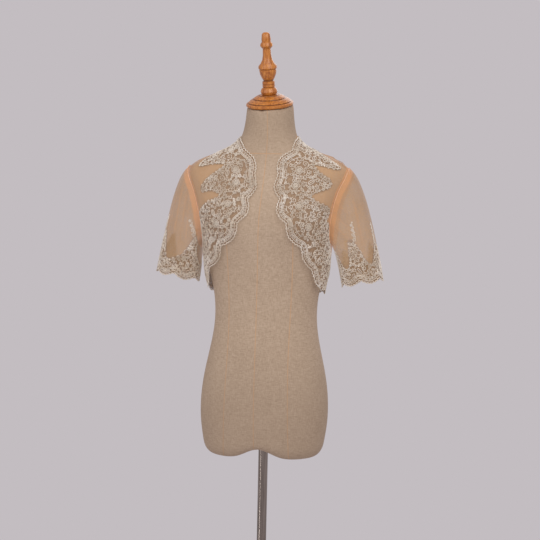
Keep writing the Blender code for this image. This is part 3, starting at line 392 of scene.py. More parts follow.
# %% Turned pieces
CAP = [(0.4, 47.0), (0.8, 51.5), (3.5, 54.0), (7.0, 53.6), (8.8, 51.6), (9.5, 47.6), (10.3, 47.4),
       (10.9, 48.6), (14.0, 45.0), (17.1, 40.0), (17.9, 36.0), (18.7, 35.6), (19.3, 36.4), (21.5, 33.0),
       (24.6, 27.6), (25.3, 23.6), (25.9, 23.4), (26.6, 20.0)]
FINIAL = [(26.9, 14.5), (28.5, 17.6), (34.0, 19.3), (40.0, 17.0), (43.0, 13.8), (43.8, 12.6), (45.0, 14.2),
          (49.6, 14.2), (50.6, 13.4), (51.6, 14.2), (56.4, 14.0), (58.2, 11.4), (59.0, 11.2), (64.0, 14.2),
          (74.0, 18.4), (83.6, 19.6), (84.2, 19.4), (84.8, 18.6), (85.4, 19.6), (87.4, 21.4), (92.0, 20.8),
          (98.0, 15.4), (106.0, 11.4), (116.0, 9.6), (131.0, 8.9), (132.5, 11.0), (137.0, 14.2),
          (142.0, 13.6), (146.0, 10.2), (152.0, 10.6), (163.0, 9.4), (166.5, 6.5), (168.0, 0.0)]
PLATE = [(0.0, 159.0), (1.0, 160.0), (6.5, 160.0), (7.6, 159.6), (8.5, 158.8), (9.0, 157.5)]
COLLAR = [(9.3, 32.0), (11.0, 31.9), (13.3, 31.0), (17.0, 25.0), (23.3, 20.0), (35.0, 17.2), (51.3, 16.5)]
POLE = [(9.3, 11.0), (789.7, 11.0)]
GROOVES = [(9.3, 10.6), (17.8, 19.0), (25.2, 26.0), (43.4, 44.2), (50.4, 50.9), (58.0, 59.2), (84.6, 85.2),
           (131.5, 132.2), (146.5, 148.0)]
# How strongly the painted shade darkens the grooves.
GROOVE_SHADE_DARK = 0.75
neck_axis = (
    Matrix.Translation((0, -7 * MM, 1505 * MM))
    @ Matrix.Rotation(math.radians(-2), 4, "Y")
    @ Matrix.Rotation(math.radians(15), 4, "X")
)


def turned(name, profile, sides, look, node, axis=None):
    """A body turned from (height, radius) rows, closed at both ends."""
    bm = bmesh.new()
    rows = [(profile[0][0], 0.0), *profile]
    if rows[-1][1] > 0:
        rows.append((profile[-1][0], 0.0))
    chain = [bm.verts.new((radius * MM, 0, height * MM)) for height, radius in rows]
    edges = [bm.edges.new(pair) for pair in zip(chain, chain[1:])]
    bmesh.ops.spin(bm, geom=chain + edges, axis=(0, 0, 1), cent=(0, 0, 0), angle=2 * math.pi,
                   steps=sides, use_merge=True)
    bmesh.ops.remove_doubles(bm, verts=bm.verts, dist=1e-6)
    bmesh.ops.recalc_face_normals(bm, faces=bm.faces)
    # Painted shade: rows inside the grooves get a darkening weight.
    groove_shade = bm.verts.layers.float.new("groove_shade")
    for v in bm.verts:
        v[groove_shade] = GROOVE_SHADE_DARK * any(low <= v.co.z / MM <= high for low, high in GROOVES)
    if axis is not None:
        bmesh.ops.transform(bm, matrix=axis, verts=bm.verts)
    made = finish_piece(name, bm, look, [node])
    made.data.set_sharp_from_angle(angle=math.radians(38))
    return made


turned("cap_turned", CAP, 72, wood, "neck_cap", neck_axis)
turned("finial_turned", FINIAL, 64, wood, "finial", neck_axis)
turned("plate_round", PLATE, 96, steel, "foot_plate")
turned("collar_turned", COLLAR, 64, chrome, "pole_collar")
turned("pole_tube", POLE, 64, chrome, "pole")

# %% [markdown]
# The jacket's panels are cloth resting on the form: after subdivision each point is lifted clear of
# the linen. Folds are placed as soft ridges and troughs along short lines. Each row gives a
# line's two ends, its half width and its height, all in millimetres.

# %% Tulle of the fronts, back and sleeves
CREASES = {
    "sleeve_right": [
        ((-190, -50, 1335), (-212, -58, 1196), 6, 3.0),
        ((-180, -52, 1318), (-192, -60, 1222), 5, -2.2),
        ((-174, -50, 1290), (-182, -56, 1180), 5, 1.8),
        ((-203, -46, 1318), (-226, -52, 1216), 6, 1.8),
        ((-214, -40, 1300), (-246, -44, 1150), 7, -2.2),
        ((-196, 52, 1322), (-226, 58, 1135), 7, 2.4),
        ((-180, 50, 1300), (-196, 56, 1130), 6, -2.0),
    ],
    "sleeve_left": [
        ((160, -45, 1290), (192, -52, 1262), 5, 1.8),
        ((158, -46, 1262), (196, -54, 1228), 5, -1.8),
        ((158, -46, 1238), (200, -52, 1200), 6, 1.6),
        ((196, -48, 1310), (230, -50, 1180), 8, -1.8),
        ((186, 50, 1310), (220, 56, 1160), 7, 2.2),
        ((170, 50, 1290), (190, 56, 1180), 6, -1.8),
    ],
    "front_left": [
        ((150, -60, 1340), (120, -80, 1250), 7, 1.2),
        ((158, -55, 1240), (130, -85, 1210), 6, 1.4),
    ],
    "front_right": [
        ((-150, -60, 1340), (-118, -80, 1256), 7, 1.1),
        ((-158, -55, 1236), (-132, -84, 1204), 6, 1.5),
    ],
    "back": [
        ((-60, 90, 1360), (-84, 92, 1190), 7, 2.6),
        ((30, 92, 1330), (20, 92, 1200), 6, 1.8),
        ((95, 80, 1350), (104, 84, 1210), 7, 2.4),
        ((-132, 80, 1322), (-104, 90, 1236), 5, 2.2),
        ((134, 80, 1316), (112, 90, 1224), 5, 2.4),
        ((136, 78, 1286), (118, 88, 1196), 5, -1.8),
    ],
}
LIFT_TULLE = 1.1 * MM
ARMHOLE_BAND, JOIN_BAND, JOIN_NEAR = 12.5 * MM, 4 * MM, 6 * MM
FOLD_LINE = 2.1


def crease(bm, lines):
    """Soft ridges and troughs along lines."""
    for start, end, half_width, height in lines:
        a, b = Vector(start) * MM, Vector(end) * MM
        way = b - a
        moves = []
        for v in bm.verts:
            share = (v.co - a).dot(way) / way.length_squared
            middle = a + way * min(max(share, 0.0), 1.0)
            away = (v.co - middle).length / (half_width * MM)
            if away < 3:
                moves.append((v, v.normal * height * MM * math.exp(-away * away / 2)))
        for v, move in moves:
            v.co += move


def panel_skin(node):
    """The outer skin of a panel, rounded and lifted clear of the form."""
    bm = keep_outer(merged(node), lambda p: form_tree.find_nearest(p)[1])
    bm = rounded(bm, 3)
    crease(bm, CREASES[node])
    for v in bm.verts:
        found, normal, _, _ = form_tree.find_nearest(v.co)
        height = (v.co - found).dot(normal)
        if height < LIFT_TULLE:
            v.co += normal * (LIFT_TULLE - height)
    bm.normal_update()
    return bm


def sleeve_axis(node):
    """The armhole's and the hem's middle."""
    low, high = (Vector(corner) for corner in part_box(node))
    side = 1 if low.x > 0 else -1
    return Vector((side * 0.150, 0.002, 1.285)), Vector((side * 0.224, 0.002, 1.100))


def sleeve_skin(node):
    """The outer skin of a sleeve, rounded."""
    top, hem = sleeve_axis(node)
    way = (hem - top).normalized()

    def outward(point):
        across = point - top
        return (across - way * across.dot(way)).normalized()

    bm = keep_outer(merged(node), outward)
    bm = rounded(bm, 3)
    crease(bm, CREASES[node])
    bm.normal_update()
    return bm


def rims(bm):
    """Each boundary of a sheet as a ring of vertices, the longest first, always in the same order."""
    left = {e for e in bm.edges if e.is_boundary}
    found = []
    for edge in list(bm.edges):
        if edge not in left:
            continue
        left.discard(edge)
        start, v = edge.verts
        ring = [start]
        while v is not start:
            ring.append(v)
            edge = next((e for e in v.link_edges if e in left), None)
            if edge is None:
                break
            left.discard(edge)
            v = edge.other_vert(v)
        found.append(ring)

    def length(ring):
        return sum((a.co - b.co).length for a, b in zip(ring, ring[1:] + ring[:1]))

    return sorted(found, key=length, reverse=True)


def tree_of_points(points):
    """A search tree of points."""
    near = KDTree(len(points))
    for i, spot in enumerate(points):
        near.insert(spot, i)
    near.balance()
    return near


def mark_seams(bm, spots, width):
    """The seam attribute: 1 up to most of the width from the spots, and 0 a little beyond it."""
    layer = bm.verts.layers.float.new("seam")
    near = tree_of_points(spots)
    for v in bm.verts:
        away = near.find(v.co)[2]
        v[layer] = min(max((width * 1.15 - away) / (width * 0.3), 0.0), 1.0)


def mark_folds(bm, lines):
    """Where a fold lies double, the cloth covers more, in a line finer than the fold itself."""
    layer = bm.verts.layers.float["seam"]
    for start, end, half_width, height in lines:
        a, b = Vector(start) * MM, Vector(end) * MM
        way = b - a
        strength = 0.15 * abs(height)
        for v in bm.verts:
            share = (v.co - a).dot(way) / way.length_squared
            if 0 < share < 1 and v.co.y * a.y > 0:
                gap = v.co - a - way * share
                away = math.hypot(gap.x, gap.z) / MM
                fade = min(share, 1 - share) * 4
                v[layer] = max(v[layer], strength * min(fade, 1.0) * math.exp(-((away / FOLD_LINE) ** 2)))


skins = {node: panel_skin(node) for node in ("front_left", "front_right", "back")}
skins.update({node: sleeve_skin(node) for node in ("sleeve_left", "sleeve_right")})
skin_trees = {node: tree_from(bm) for node, bm in skins.items()}
armholes = {}
for node in ("sleeve_left", "sleeve_right"):
    ring = max(rims(skins[node])[:2], key=lambda r: sum(v.co.z for v in r) / len(r))
    armholes[node] = [v.co.copy() for v in ring]
    mark_seams(skins[node], armholes[node], ARMHOLE_BAND)
    mark_folds(skins[node], CREASES[node])
    print(node, "armhole", len(ring), "points")
for node in ("front_left", "front_right", "back"):
    others = []
    for other, bm in skins.items():
        if other != node:
            others.extend(v.co.copy() for v in rims(bm)[0])
    near = tree_of_points(others)
    joins = [v.co.copy() for v in rims(skins[node])[0] if near.find(v.co)[2] < JOIN_NEAR]
    mark_seams(skins[node], joins, JOIN_BAND)
    mark_folds(skins[node], CREASES[node])
    print(node, "joined to its neighbours at", len(joins), "points")

# %% [markdown]
# Corded lace is a net with thick cord stitched on it. Drawing each cord as a thin round tube keeps
# its raised look at every angle. A design is made of a few small motifs, each a line in its own
# plane in millimetres: rings, flowers, leaves and curls, all of them ordinary lace shapes.


# %% Motifs
def ring_motif(r):
    """A plain ring."""
    turns = 8 if r < 2 else 12
    return [[(r * math.cos(2 * math.pi * k / turns), r * math.sin(2 * math.pi * k / turns))
             for k in range(turns + 1)]]


def flower_motif(r, petals=5):
    """An open flower drawn in one line."""
    steps = petals * 6
    outline = []
    for k in range(steps + 1):
        turn = 2 * math.pi * k / steps
        reach = r * (0.24 + 0.76 * abs(math.cos(petals * turn / 2)))
        outline.append((reach * math.cos(turn), reach * math.sin(turn)))
    return [outline]


def leaf_motif(r):
    """A pointed leaf with its middle vein."""
    one = [(r * math.cos(math.pi * k / 6), 0.52 * r * math.sin(math.pi * k / 6)) for k in range(7)]
    other = [(x, -y) for x, y in reversed(one)]
    return [one + other[1:], [(-r, 0.0), (0.0, 0.0), (r, 0.0)]]


def curl_motif(r):
    """A spiral that winds in towards its middle."""
    stops = [(r * (1 - k / 17), 0.62 * k) for k in range(15)]
    return [[(reach * math.cos(turn), reach * math.sin(turn)) for reach, turn in stops]]


def rosette_motif(r):
    """A round flower of eight petals in a scalloped ring."""
    edge = []
    for k in range(49):
        turn = 2 * math.pi * k / 48
        reach = r * (0.93 + 0.07 * math.cos(8 * turn))
        edge.append((reach * math.cos(turn), reach * math.sin(turn)))
    return [*ring_motif(r * 0.2), flower_motif(r * 0.72, 8)[0], edge]


def sprig_motif(r):
    """A bent stem with a bud at its end and one small leaf."""
    stem = [(-r + 1.2 * r * t, 0.5 * r * math.sin(2.6 * t)) for t in (k / 6 for k in range(7))]
    bud = [(x + 0.55 * r, y + 0.25 * r) for x, y in ring_motif(0.4 * r)[0]]
    side = [(x * 0.5 - 0.2 * r, y * 0.8 - 0.3 * r) for x, y in leaf_motif(r)[0]]
    return [stem, bud, side]


MOTIFS = [flower_motif, leaf_motif, curl_motif, sprig_motif]
print("motifs for the fill:", len(MOTIFS))

# %% [markdown]
# The ground of each lace is the outer skin of its solid, laid just above the tulle that it is sewn
# to. The solids already have the lace's outline and windows, so the ground only has to be rounded.

# %% Lace grounds
LACES = {
    "lace_front_left": "front_left",
    "lace_front_right": "front_right",
    "lace_back_neck": "back",
    "lace_back_hem": "back",
    "lace_sleeve_left_front": "sleeve_left",
    "lace_sleeve_left_back": "sleeve_left",
    "lace_sleeve_right_front": "sleeve_right",
    "lace_sleeve_right_back": "sleeve_right",
}
LIFT_GROUND = 0.7 * MM
grounds = {}
for node, panel in LACES.items():
    under = skin_trees[panel]
    bm = keep_outer(merged(node), lambda p: under.find_nearest(p)[1])
    bm = rounded(bm, 1)
    for v in bm.verts:
        v.co = set_height(v.co, under, LIFT_GROUND)[0]
    bm.normal_update()
    grounds[node] = bm
    print(node, len(bm.faces), "faces,", len(rims(bm)) - 1, "windows")

# %% [markdown]
# The tulle is finished next, because it has to know where lace lies on it: under the lace and just
# beside it the tulle gets a painted shadow of the lace, so the windows of the lace look dark. The net
# casts no shadow, since most of the light that real net stops is only scattered on to the linen under it.

# %% Make the tulle pieces
# How far the painted shadow of the lace reaches on the tulle, and how softly it fades, in millimetres.
LACE_SHADOW_REACH, LACE_SHADOW_FADE = 4.0, 1.6
TULLE_PIECES = {}


def mark_painted_lace_shadow(bm, ground_trees):
    """Painted shadow of the lace: 1 where a lace's ground lies on the tulle or just beside it, as inside its
    windows.
    """
    layer = bm.verts.layers.float.new("painted_lace_shadow")
    for v in bm.verts:
        away = min(tree.find_nearest(v.co)[3] for tree in ground_trees) / MM
        v[layer] = min(max((LACE_SHADOW_REACH - away) / LACE_SHADOW_FADE, 0.0), 1.0)


def let_light_through(piece):
    """Net that casts no shadow and sends no light on."""
    piece.visible_shadow = False
    piece.visible_diffuse = False


for node, bm in skins.items():
    area = sum(f.calc_area() for f in bm.faces)
    mark_painted_lace_shadow(bm, [tree_from(grounds[lace]) for lace, panel in LACES.items() if panel == node])
    # The sleeves take the darker copy of the tulle, with painted shade.
    cloth = sleeve_tulle_shaded if node.startswith("sleeve") else tulle
    TULLE_PIECES[node] = (finish_piece(f"tulle_{node}", bm, cloth, [node]), area)
    let_light_through(TULLE_PIECES[node][0])
    print(node, "area", round(area, 4), "m2")

# %% [markdown]
# A cord on real lace follows the edge of the net. So each rim becomes a row of evenly spaced places,
# each with its direction into the sheet, and a cord is laid along them at a chosen depth. The notches
# between a front's scallops, each a height and its distance from the middle on the right and on the
# left side, tell the scalloped side of a lace from the side with sprays.

# %% Cord paths along the rims
STEP = 1.6 * MM
NOTCHES = [(1433, 66, 66), (1399, 44, 62), (1345, 20, 38), (1294, 33, 45), (1242, 53, 62),
           (1189, 93, 93), (1139, 119, 110), (1093, 122, 121)]
LOWEST_NOTCH = NOTCHES[-1][0]
NOTCH_MARGIN, NOTCH_CLEAR = 6, 15
# How far the way into the sheet has to point to the side, or up, for a place on a scalloped side.
FRONT_SIDEWAYS, NECK_UP, HEM_UP = -0.5, 0.2, 0.25
HEM_BORDER_TOP, SLEEVE_BORDER_TOP = 1.104, 1.135


def rim_path(bm, ring):
    """Evenly spaced places on a rim, each with its direction into the sheet."""
    stops = [v.co for v in ring] + [ring[0].co]
    inward = []
    for v in ring:
        middle = sum((f.calc_center_median() for f in v.link_faces), Vector()) / len(v.link_faces)
        inward.append(middle - v.co)
    inward.append(inward[0])
    places = []
    carried = 0.0
    for i in range(len(stops) - 1):
        a, b = stops[i], stops[i + 1]
        length = (b - a).length
        while carried < length:
            share = carried / length
            way = (b - a).normalized()
            into = inward[i].lerp(inward[i + 1], share)
            into = (into - way * into.dot(way))
            if into.length > 1e-9:
                places.append((a.lerp(b, share), into.normalized()))
            carried += STEP
        carried -= length
    return places


def is_scalloped(node, place, into):
    """Whether a place on the outline lies on the lace's scalloped side."""
    if node.startswith("lace_front"):
        side = 1 if place.x > 0 else -1
        x, z = abs(place.x) / MM, place.z / MM
        for (z0, r0, l0), (z1, r1, l1) in zip(NOTCHES, NOTCHES[1:]):
            if z1 <= z <= z0 or (z < LOWEST_NOTCH and z1 == LOWEST_NOTCH):
                share = (z0 - z) / (z0 - z1)
                line = (l0 + (l1 - l0) * share) if side > 0 else (r0 + (r1 - r0) * share)
                return x < line + NOTCH_MARGIN and into.x * side > FRONT_SIDEWAYS
        return False
    if node == "lace_back_neck":
        return into.z > NECK_UP
    if node == "lace_back_hem":
        return into.z > HEM_UP and place.z < HEM_BORDER_TOP
    return into.z > HEM_UP and place.z < SLEEVE_BORDER_TOP


def in_middle(node, place):
    """Whether a place on a front's edge is well away from the notches between its scallops."""
    if not node.startswith("lace_front"):
        return False
    x, z = abs(place.x) / MM, place.z / MM
    return min(math.hypot(x - (left if place.x > 0 else right), z - height)
               for height, right, left in NOTCHES) > NOTCH_CLEAR


print("rim helpers ready")

# %% [markdown]
# Every cord of a lace is a stroke: a line on the surface and a radius. A stroke sinks a little into
# the net, as a couched cord does. All strokes of one lace become one mesh of thin tubes, and one
# record of the lace keeps what the steps below have to know and what they have laid.

# %% Strokes of cord
CORD_RADIUS = 0.78 * MM
FINE_RADIUS = 0.60 * MM
SUNK = 0.4
LIFT_CORD = LIFT_GROUND + CORD_RADIUS * SUNK
LIFT_FINE = LIFT_GROUND + FINE_RADIUS * SUNK
all_rims = {node: [v.co.copy() for v in rims(bm)[0]] for node, bm in grounds.items()}


def cord_mesh(strokes):
    """All strokes as thin four-sided tubes, made from one curve."""
    data = bpy.data.curves.new("strokes", "CURVE")
    data.dimensions = "3D"
    data.bevel_depth = 1.0
    data.bevel_resolution = 0
    for points, radius in strokes:
        if len(points) < 3:
            continue
        line = data.splines.new("POLY")
        line.points.add(len(points) - 1)
        line.points.foreach_set("co", [n for p in points for n in (p.x, p.y, p.z, 1.0)])
        line.points.foreach_set("radius", [radius] * len(points))
    draft = bpy.data.objects.new("strokes", data)
    bpy.context.scene.collection.objects.link(draft)
    graph = bpy.context.evaluated_depsgraph_get()
    bm = bmesh.new()
    bm.from_mesh(bpy.data.meshes.new_from_object(draft.evaluated_get(graph)))
    bpy.data.objects.remove(draft)
    return bm


def frame_at(point, normal, turn):
    """Two directions in the surface at a point, turned by an angle."""
    across = normal.cross(Vector((0, 0, 1)))
    across = across.normalized() if across.length > 0.05 else Vector((1, 0, 0))
    up = normal.cross(across).normalized()
    return (across * math.cos(turn) + up * math.sin(turn), up * math.cos(turn) - across * math.sin(turn))


def place_motif(lace, lines, centre, normal, radius, turn):
    """A motif's lines laid on the surface round a centre."""
    first, second = frame_at(centre, normal, turn)
    for line in lines:
        laid = [set_height(centre + first * a * MM + second * b * MM, lace.under,
                           LIFT_GROUND + radius * SUNK)[0] for a, b in line]
        lace.strokes.append((laid, radius))


def survey(node):
    """The record of one lace: its rims, what lies beside it, and empty lists for what is laid."""
    bm = grounds[node]
    rings = rims(bm)
    outline = rim_path(bm, rings[0])
    outside = [p for other, ring in all_rims.items() if other != node for p in ring]
    return SimpleNamespace(
        node=node, bm=bm, under=skin_trees[LACES[node]], rings=rings, outline=outline,
        edge=tree_of_points([place for place, into in outline]), beside=tree_of_points(outside),
        strokes=[], taken=[], motifs=[],
    )


print("cord", round(2 * CORD_RADIUS / MM, 2), "mm, fine cord", round(2 * FINE_RADIUS / MM, 2), "mm")

# %% [markdown]
# Along its scalloped side the lace has a border of cords beside each other: a cord with picot loops
# on the edge, a plain cord, a row of small rings, and two arcs. A front's scallops are large enough
# for a crescent inside the arcs, shown dark by the painted shadow of the lace on the tulle, with a
# thread along its far side and short spokes across it.
# A fine cord runs round each window of the neck, hem and sleeve laces.

# %% Borders
# Millimetres inside the edge, unless multiplied by MM already.
SHARED_EDGE = 2.2 * MM
PICOT_HEIGHT, PICOT_LENGTH, PICOT_BASE = 3.4, 7.2, 2.0
DEPTHS = {"second": 4.8, "third": 10.8, "fourth": 13.4, "crescent": 21.5}
HEAVY = ("edge", "third", "fourth")
CLEAR_SHARE = 0.86
SPOKE_DEPTHS = (13.4, 16, 18.7, 21.5)
SPOKE_CLEAR = 17 * MM
RING_DEPTH, RING_CLEAR, RING_RADIUS = 8.1, 6.8, 1.5
# Steps along the rim from one spoke or ring to the next.
SPACING = 4
WINDOW_INSET = 0.5


def border_cords(lace):
    """The looped cord on the edge, and the cords that follow it inwards."""
    runs = {key: [] for key in ("edge", *DEPTHS)}
    current = {key: [] for key in runs}
    travelled = 0.0
    for place, into in lace.outline:
        travelled += STEP / MM
        shared = lace.beside.find(place)[2] < SHARED_EDGE
        scalloped = is_scalloped(lace.node, place, into)
        if shared or not scalloped:
            runs["edge"].append(current["edge"])
            current["edge"] = []
        else:
            loop = PICOT_HEIGHT * abs(math.sin(math.pi * travelled / PICOT_LENGTH)) - PICOT_BASE
            current["edge"].append(set_height(place - into * loop * MM, lace.under, LIFT_CORD)[0])
        for key, inside in DEPTHS.items():
            spot = set_height(place + into * inside * MM, lace.under, LIFT_CORD)[0]
            clear = lace.edge.find(spot)[2] > CLEAR_SHARE * inside * MM
            here = key != "crescent" or in_middle(lace.node, place)
            if clear and scalloped and not shared and here:
                current[key].append(spot)
            elif current[key]:
                runs[key].append(current[key])
                current[key] = []
    for key, last in current.items():
        for run in [*runs[key], last]:
            lace.strokes.append((run, CORD_RADIUS * (1.2 if key in HEAVY else 0.9)))
            lace.taken.extend(run)


def spokes(lace):
    """Short threads across the crescent of each large scallop."""
    for place, into in lace.outline[::SPACING]:
        if is_scalloped(lace.node, place, into) and in_middle(lace.node, place):
            line = [place + into * inside * MM for inside in SPOKE_DEPTHS]
            if lace.edge.find(line[-1])[2] > SPOKE_CLEAR:
                laid = [set_height(p, lace.under, LIFT_FINE)[0] for p in line]
                lace.strokes.append((laid, FINE_RADIUS * 0.7))
                lace.taken.extend(laid)


def border_rings(lace):
    """A row of small rings between the second cord and the arcs."""
    scalloped = [(place, into) for place, into in lace.outline if is_scalloped(lace.node, place, into)]
    for place, into in scalloped[::SPACING]:
        spot, normal = set_height(place + into * RING_DEPTH * MM, lace.under, 0.0)
        if lace.edge.find(spot)[2] > RING_CLEAR * MM:
            place_motif(lace, ring_motif(RING_RADIUS), spot, normal, FINE_RADIUS, 0.0)
            lace.taken.append(spot)


def window_cords(lace):
    """A fine cord round each window; a front's windows have none, but its fill keeps off them too."""
    for ring in lace.rings[1:]:
        border = [place + into * WINDOW_INSET * MM for place, into in rim_path(lace.bm, ring)]
        if len(border) > 3:
            laid = [set_height(p, lace.under, LIFT_GROUND + FINE_RADIUS)[0] for p in border + border[:1]]
            if not lace.node.startswith("lace_front"):
                lace.strokes.append((laid, FINE_RADIUS))
            lace.taken.extend(laid)


print("border cords lie", list(DEPTHS.values()), "mm inside the edge")

# %% [markdown]
# A rosette fills the middle of five scallops of each front. Motifs of mixed size make the loose edge
# of the side with sprays. The rest is filled with motifs of falling size, placed by chance from a
# fixed seed so that no two touch, and short bent bars join each to its neighbours, since in real lace
# nothing hangs free. Small branches of flowers climb from the sleeves' lace. The fill is this
# lesson's own, of ordinary lace shapes.

# %% Rosettes, fill, branches and bars
# Millimetres, apart from the area of a lace that gets all its tries, in square metres.
ROSETTE = 9.0
ROSETTE_DEEP, ROSETTE_TOP_DEEP, TOP_SCALLOP = 34, 28, 1400
OUTLINE_SIZES = (2.4, 3.0, 3.8, 5.0, 6.2)
FILL_SIZES = [(7.4, 1500), (5.6, 2500), (4.0, 5000), (2.6, 7000), (1.6, 7000)]
FULL_AREA, SMALL = 0.030, 3
OUTLINE_GAP, FILL_GAP, BORDER_GAP = 0.2, 0.7, 1.1
OUTLINE_INSET, NEIGHBOUR_CLEAR = 0.42, 5 * MM
BAR_GAP, BAR_BEND, BAR_OVERLAP = 5.5, 1.6, 0.4
STEMS = {
    "lace_sleeve_left_front": [
        ((206, -50, 1206), (198, -52, 1244), 4.4),
        ((240, -18, 1200), (230, -18, 1242), 3.4),
    ],
    "lace_sleeve_left_back": [((172, 52, 1156), (174, 52, 1204), 4.4)],
    "lace_sleeve_right_front": [
        ((-160, -52, 1208), (-170, -52, 1240), 5.0),
        ((-227, -22, 1222), (-219, -22, 1250), 3.4),
    ],
    "lace_sleeve_right_back": [((-183, 54, 1174), (-180, 54, 1216), 4.4)],
}
chance = random.Random(11)


def touches(lace, spot, r, gap):
    """Whether a motif would come nearer than the gap to one that is laid already."""
    return any((spot - other).length < (r + reach + gap) * MM for other, reach in lace.motifs)


def rosettes(lace):
    """A rosette inside each of the five large scallops of a front."""
    if not lace.node.startswith("lace_front"):
        return
    side = 1 if lace.node.endswith("left") else -1
    for (z0, r0, l0), (z1, r1, l1) in zip(NOTCHES[:5], NOTCHES[1:6]):
        a = Vector((l0 if side > 0 else r0, 0, z0))
        b = Vector((l1 if side > 0 else r1, 0, z1))
        way = (b - a).normalized()
        inside = Vector((-way.z, 0, way.x)) * (ROSETTE_DEEP if z0 < TOP_SCALLOP else ROSETTE_TOP_DEEP)
        middle = (a + b) / 2 + inside
        start = Vector((side * middle.x * MM, -0.3, middle.z * MM))
        spot = lace.under.ray_cast(start, Vector((0, 1, 0)))[0]
        if spot is not None:
            normal = lace.under.find_nearest(spot)[1]
            place_motif(lace, rosette_motif(ROSETTE), spot, normal, CORD_RADIUS, chance.uniform(0, 0.7))
            lace.motifs.append((spot, ROSETTE))


def outline_motifs(lace):
    """Flowers, leaves and rings of mixed size along the side that has no border."""
    for place, into in lace.outline[::2]:
        if is_scalloped(lace.node, place, into) or lace.beside.find(place)[2] < NEIGHBOUR_CLEAR:
            continue
        r = chance.choice(OUTLINE_SIZES) * chance.uniform(0.9, 1.1)
        spot, normal = set_height(place + into * (r * OUTLINE_INSET) * MM, lace.under, 0.0)
        if touches(lace, spot, r, OUTLINE_GAP):
            continue
        motif = chance.choice((flower_motif, leaf_motif, ring_motif, leaf_motif, flower_motif))
        first, second = frame_at(spot, normal, 0)
        outward = math.atan2(-into.dot(second), -into.dot(first))
        place_motif(lace, motif(r), spot, normal, FINE_RADIUS, outward)
        lace.motifs.append((spot, r))


def fill_motifs(lace):
    """Motifs of falling size wherever they fit, clear of the borders and of each other."""
    faces = list(lace.bm.faces)
    weights = [f.calc_area() for f in faces]
    borders = tree_of_points(lace.taken)
    share = min(1.0, sum(weights) / FULL_AREA)
    for size, tries in FILL_SIZES:
        for face in chance.choices(faces, weights, k=int(tries * share)):
            corners = [v.co for v in face.verts]
            mixes = [chance.random() for _ in corners]
            spot = sum((c * m for c, m in zip(corners, mixes)), Vector()) / sum(mixes)
            r = size * chance.uniform(0.88, 1.1)
            if borders.find(spot)[2] < (r + BORDER_GAP) * MM or touches(lace, spot, r, FILL_GAP):
                continue
            lace.motifs.append((spot, r))
            motif = ring_motif if size < SMALL else chance.choice(MOTIFS)
            normal = lace.under.find_nearest(spot)[1]
            radius = FINE_RADIUS if size < SMALL else CORD_RADIUS
            place_motif(lace, motif(r), spot, normal, radius, chance.uniform(0, 6.28))


def lay_stem(lace, start, end, r):
    """A branch that climbs past the net: small flowers and rings by turns, smaller towards the tip."""
    a, b = Vector(start) * MM, Vector(end) * MM
    ahead = (b - a).normalized()
    steps = round((b - a).length / MM / (r * 1.2))
    for k in range(steps + 1):
        spot, normal = set_height(a.lerp(b, k / steps), lace.under, 0.0)
        beside = normal.cross(ahead).normalized() * (0.3 * r * (-1) ** k) * MM
        size = r * (1 - 0.35 * k / steps)
        motif = flower_motif(size) if k % 2 == 0 else ring_motif(size * 0.5)
        place_motif(lace, motif, spot + beside, normal, FINE_RADIUS, k)


def add_bars(lace):
    """Bent bars from each motif to its near neighbours."""
    middles = tree_of_points([spot for spot, r in lace.motifs])
    joined = set()
    for i, (spot, r) in enumerate(lace.motifs):
        for other, j, away in middles.find_n(spot, 5)[1:]:
            reach = lace.motifs[j][1]
            pair = (min(i, j), max(i, j))
            if away / MM - r - reach >= BAR_GAP or pair in joined:
                continue
            joined.add(pair)
            way = (other - spot).normalized()
            normal = lace.under.find_nearest(spot)[1]
            bend = normal.cross(way) * chance.uniform(-BAR_BEND, BAR_BEND) * MM
            a = spot + way * (r - BAR_OVERLAP) * MM
            b = other - way * (reach - BAR_OVERLAP) * MM
            line = [a.lerp(b, t) + bend * math.sin(math.pi * t) for t in (0, 0.33, 0.66, 1)]
            laid = [set_height(p, lace.under, LIFT_FINE)[0] for p in line]
            lace.strokes.append((laid, FINE_RADIUS))


print("sizes of the fill:", [size for size, tries in FILL_SIZES], "mm")

# %% [markdown]
# Now each lace gets its cords: the borders first, then the large motifs, then the small ones in the
# room that is left, and last the bars, which need to know where every motif lies.

# %% Cords of each lace
for node in LACES:
    lace = survey(node)
    border_cords(lace)
    spokes(lace)
    border_rings(lace)
    window_cords(lace)
    rosettes(lace)
    outline_motifs(lace)
    fill_motifs(lace)
    for start, end, r in STEMS.get(node, []):
        lay_stem(lace, start, end, r)
    add_bars(lace)
    finish_piece(f"cords_{node}", cord_mesh(lace.strokes), cord_thread)
    print(node, len(lace.strokes), "strokes,", len(lace.motifs), "motifs")

# %% [markdown]
# The nets are finished last. Their rims count as seams, which makes the cut edge of the net thinner
# than its middle, so that the lace ends in its cords and not in a hard line.

# %% Finish the grounds
RIM_BAND = 1.8 * MM
GROUND_PIECES = {}
for node, bm in grounds.items():
    area = sum(f.calc_area() for f in bm.faces)
    mark_seams(bm, all_rims[node], RIM_BAND)
    # The sleeve laces take the darker net, with painted shade.
    net = sleeve_ground_painted_shade if node.startswith("lace_sleeve") else lace_ground_painted_shade
    GROUND_PIECES[node] = (finish_piece(f"net_{node}", bm, net, [node]), area)
    let_light_through(GROUND_PIECES[node][0])
    print(node, "area", round(area, 4), "m2")

# %% [markdown]
# The armhole seams are stitched with the allowance turned into the sleeve. A thin cord of folded
# tulle along each armhole shows that seam as a bright line and closes the step between the pieces.

# %% Armhole seams
seam_tulle = net_material("nylon tulle folded at a seam", "#EDB586", "#E6AC7C", 0.95, 0.95, 1.9)
SEAM_CORD = 1.0 * MM
for node, ring in armholes.items():
    points = ring + ring[:1]
    bm = cord_mesh([(points, SEAM_CORD)])
    finish_piece(f"seam_{node}", bm, seam_tulle)

# %% [markdown]

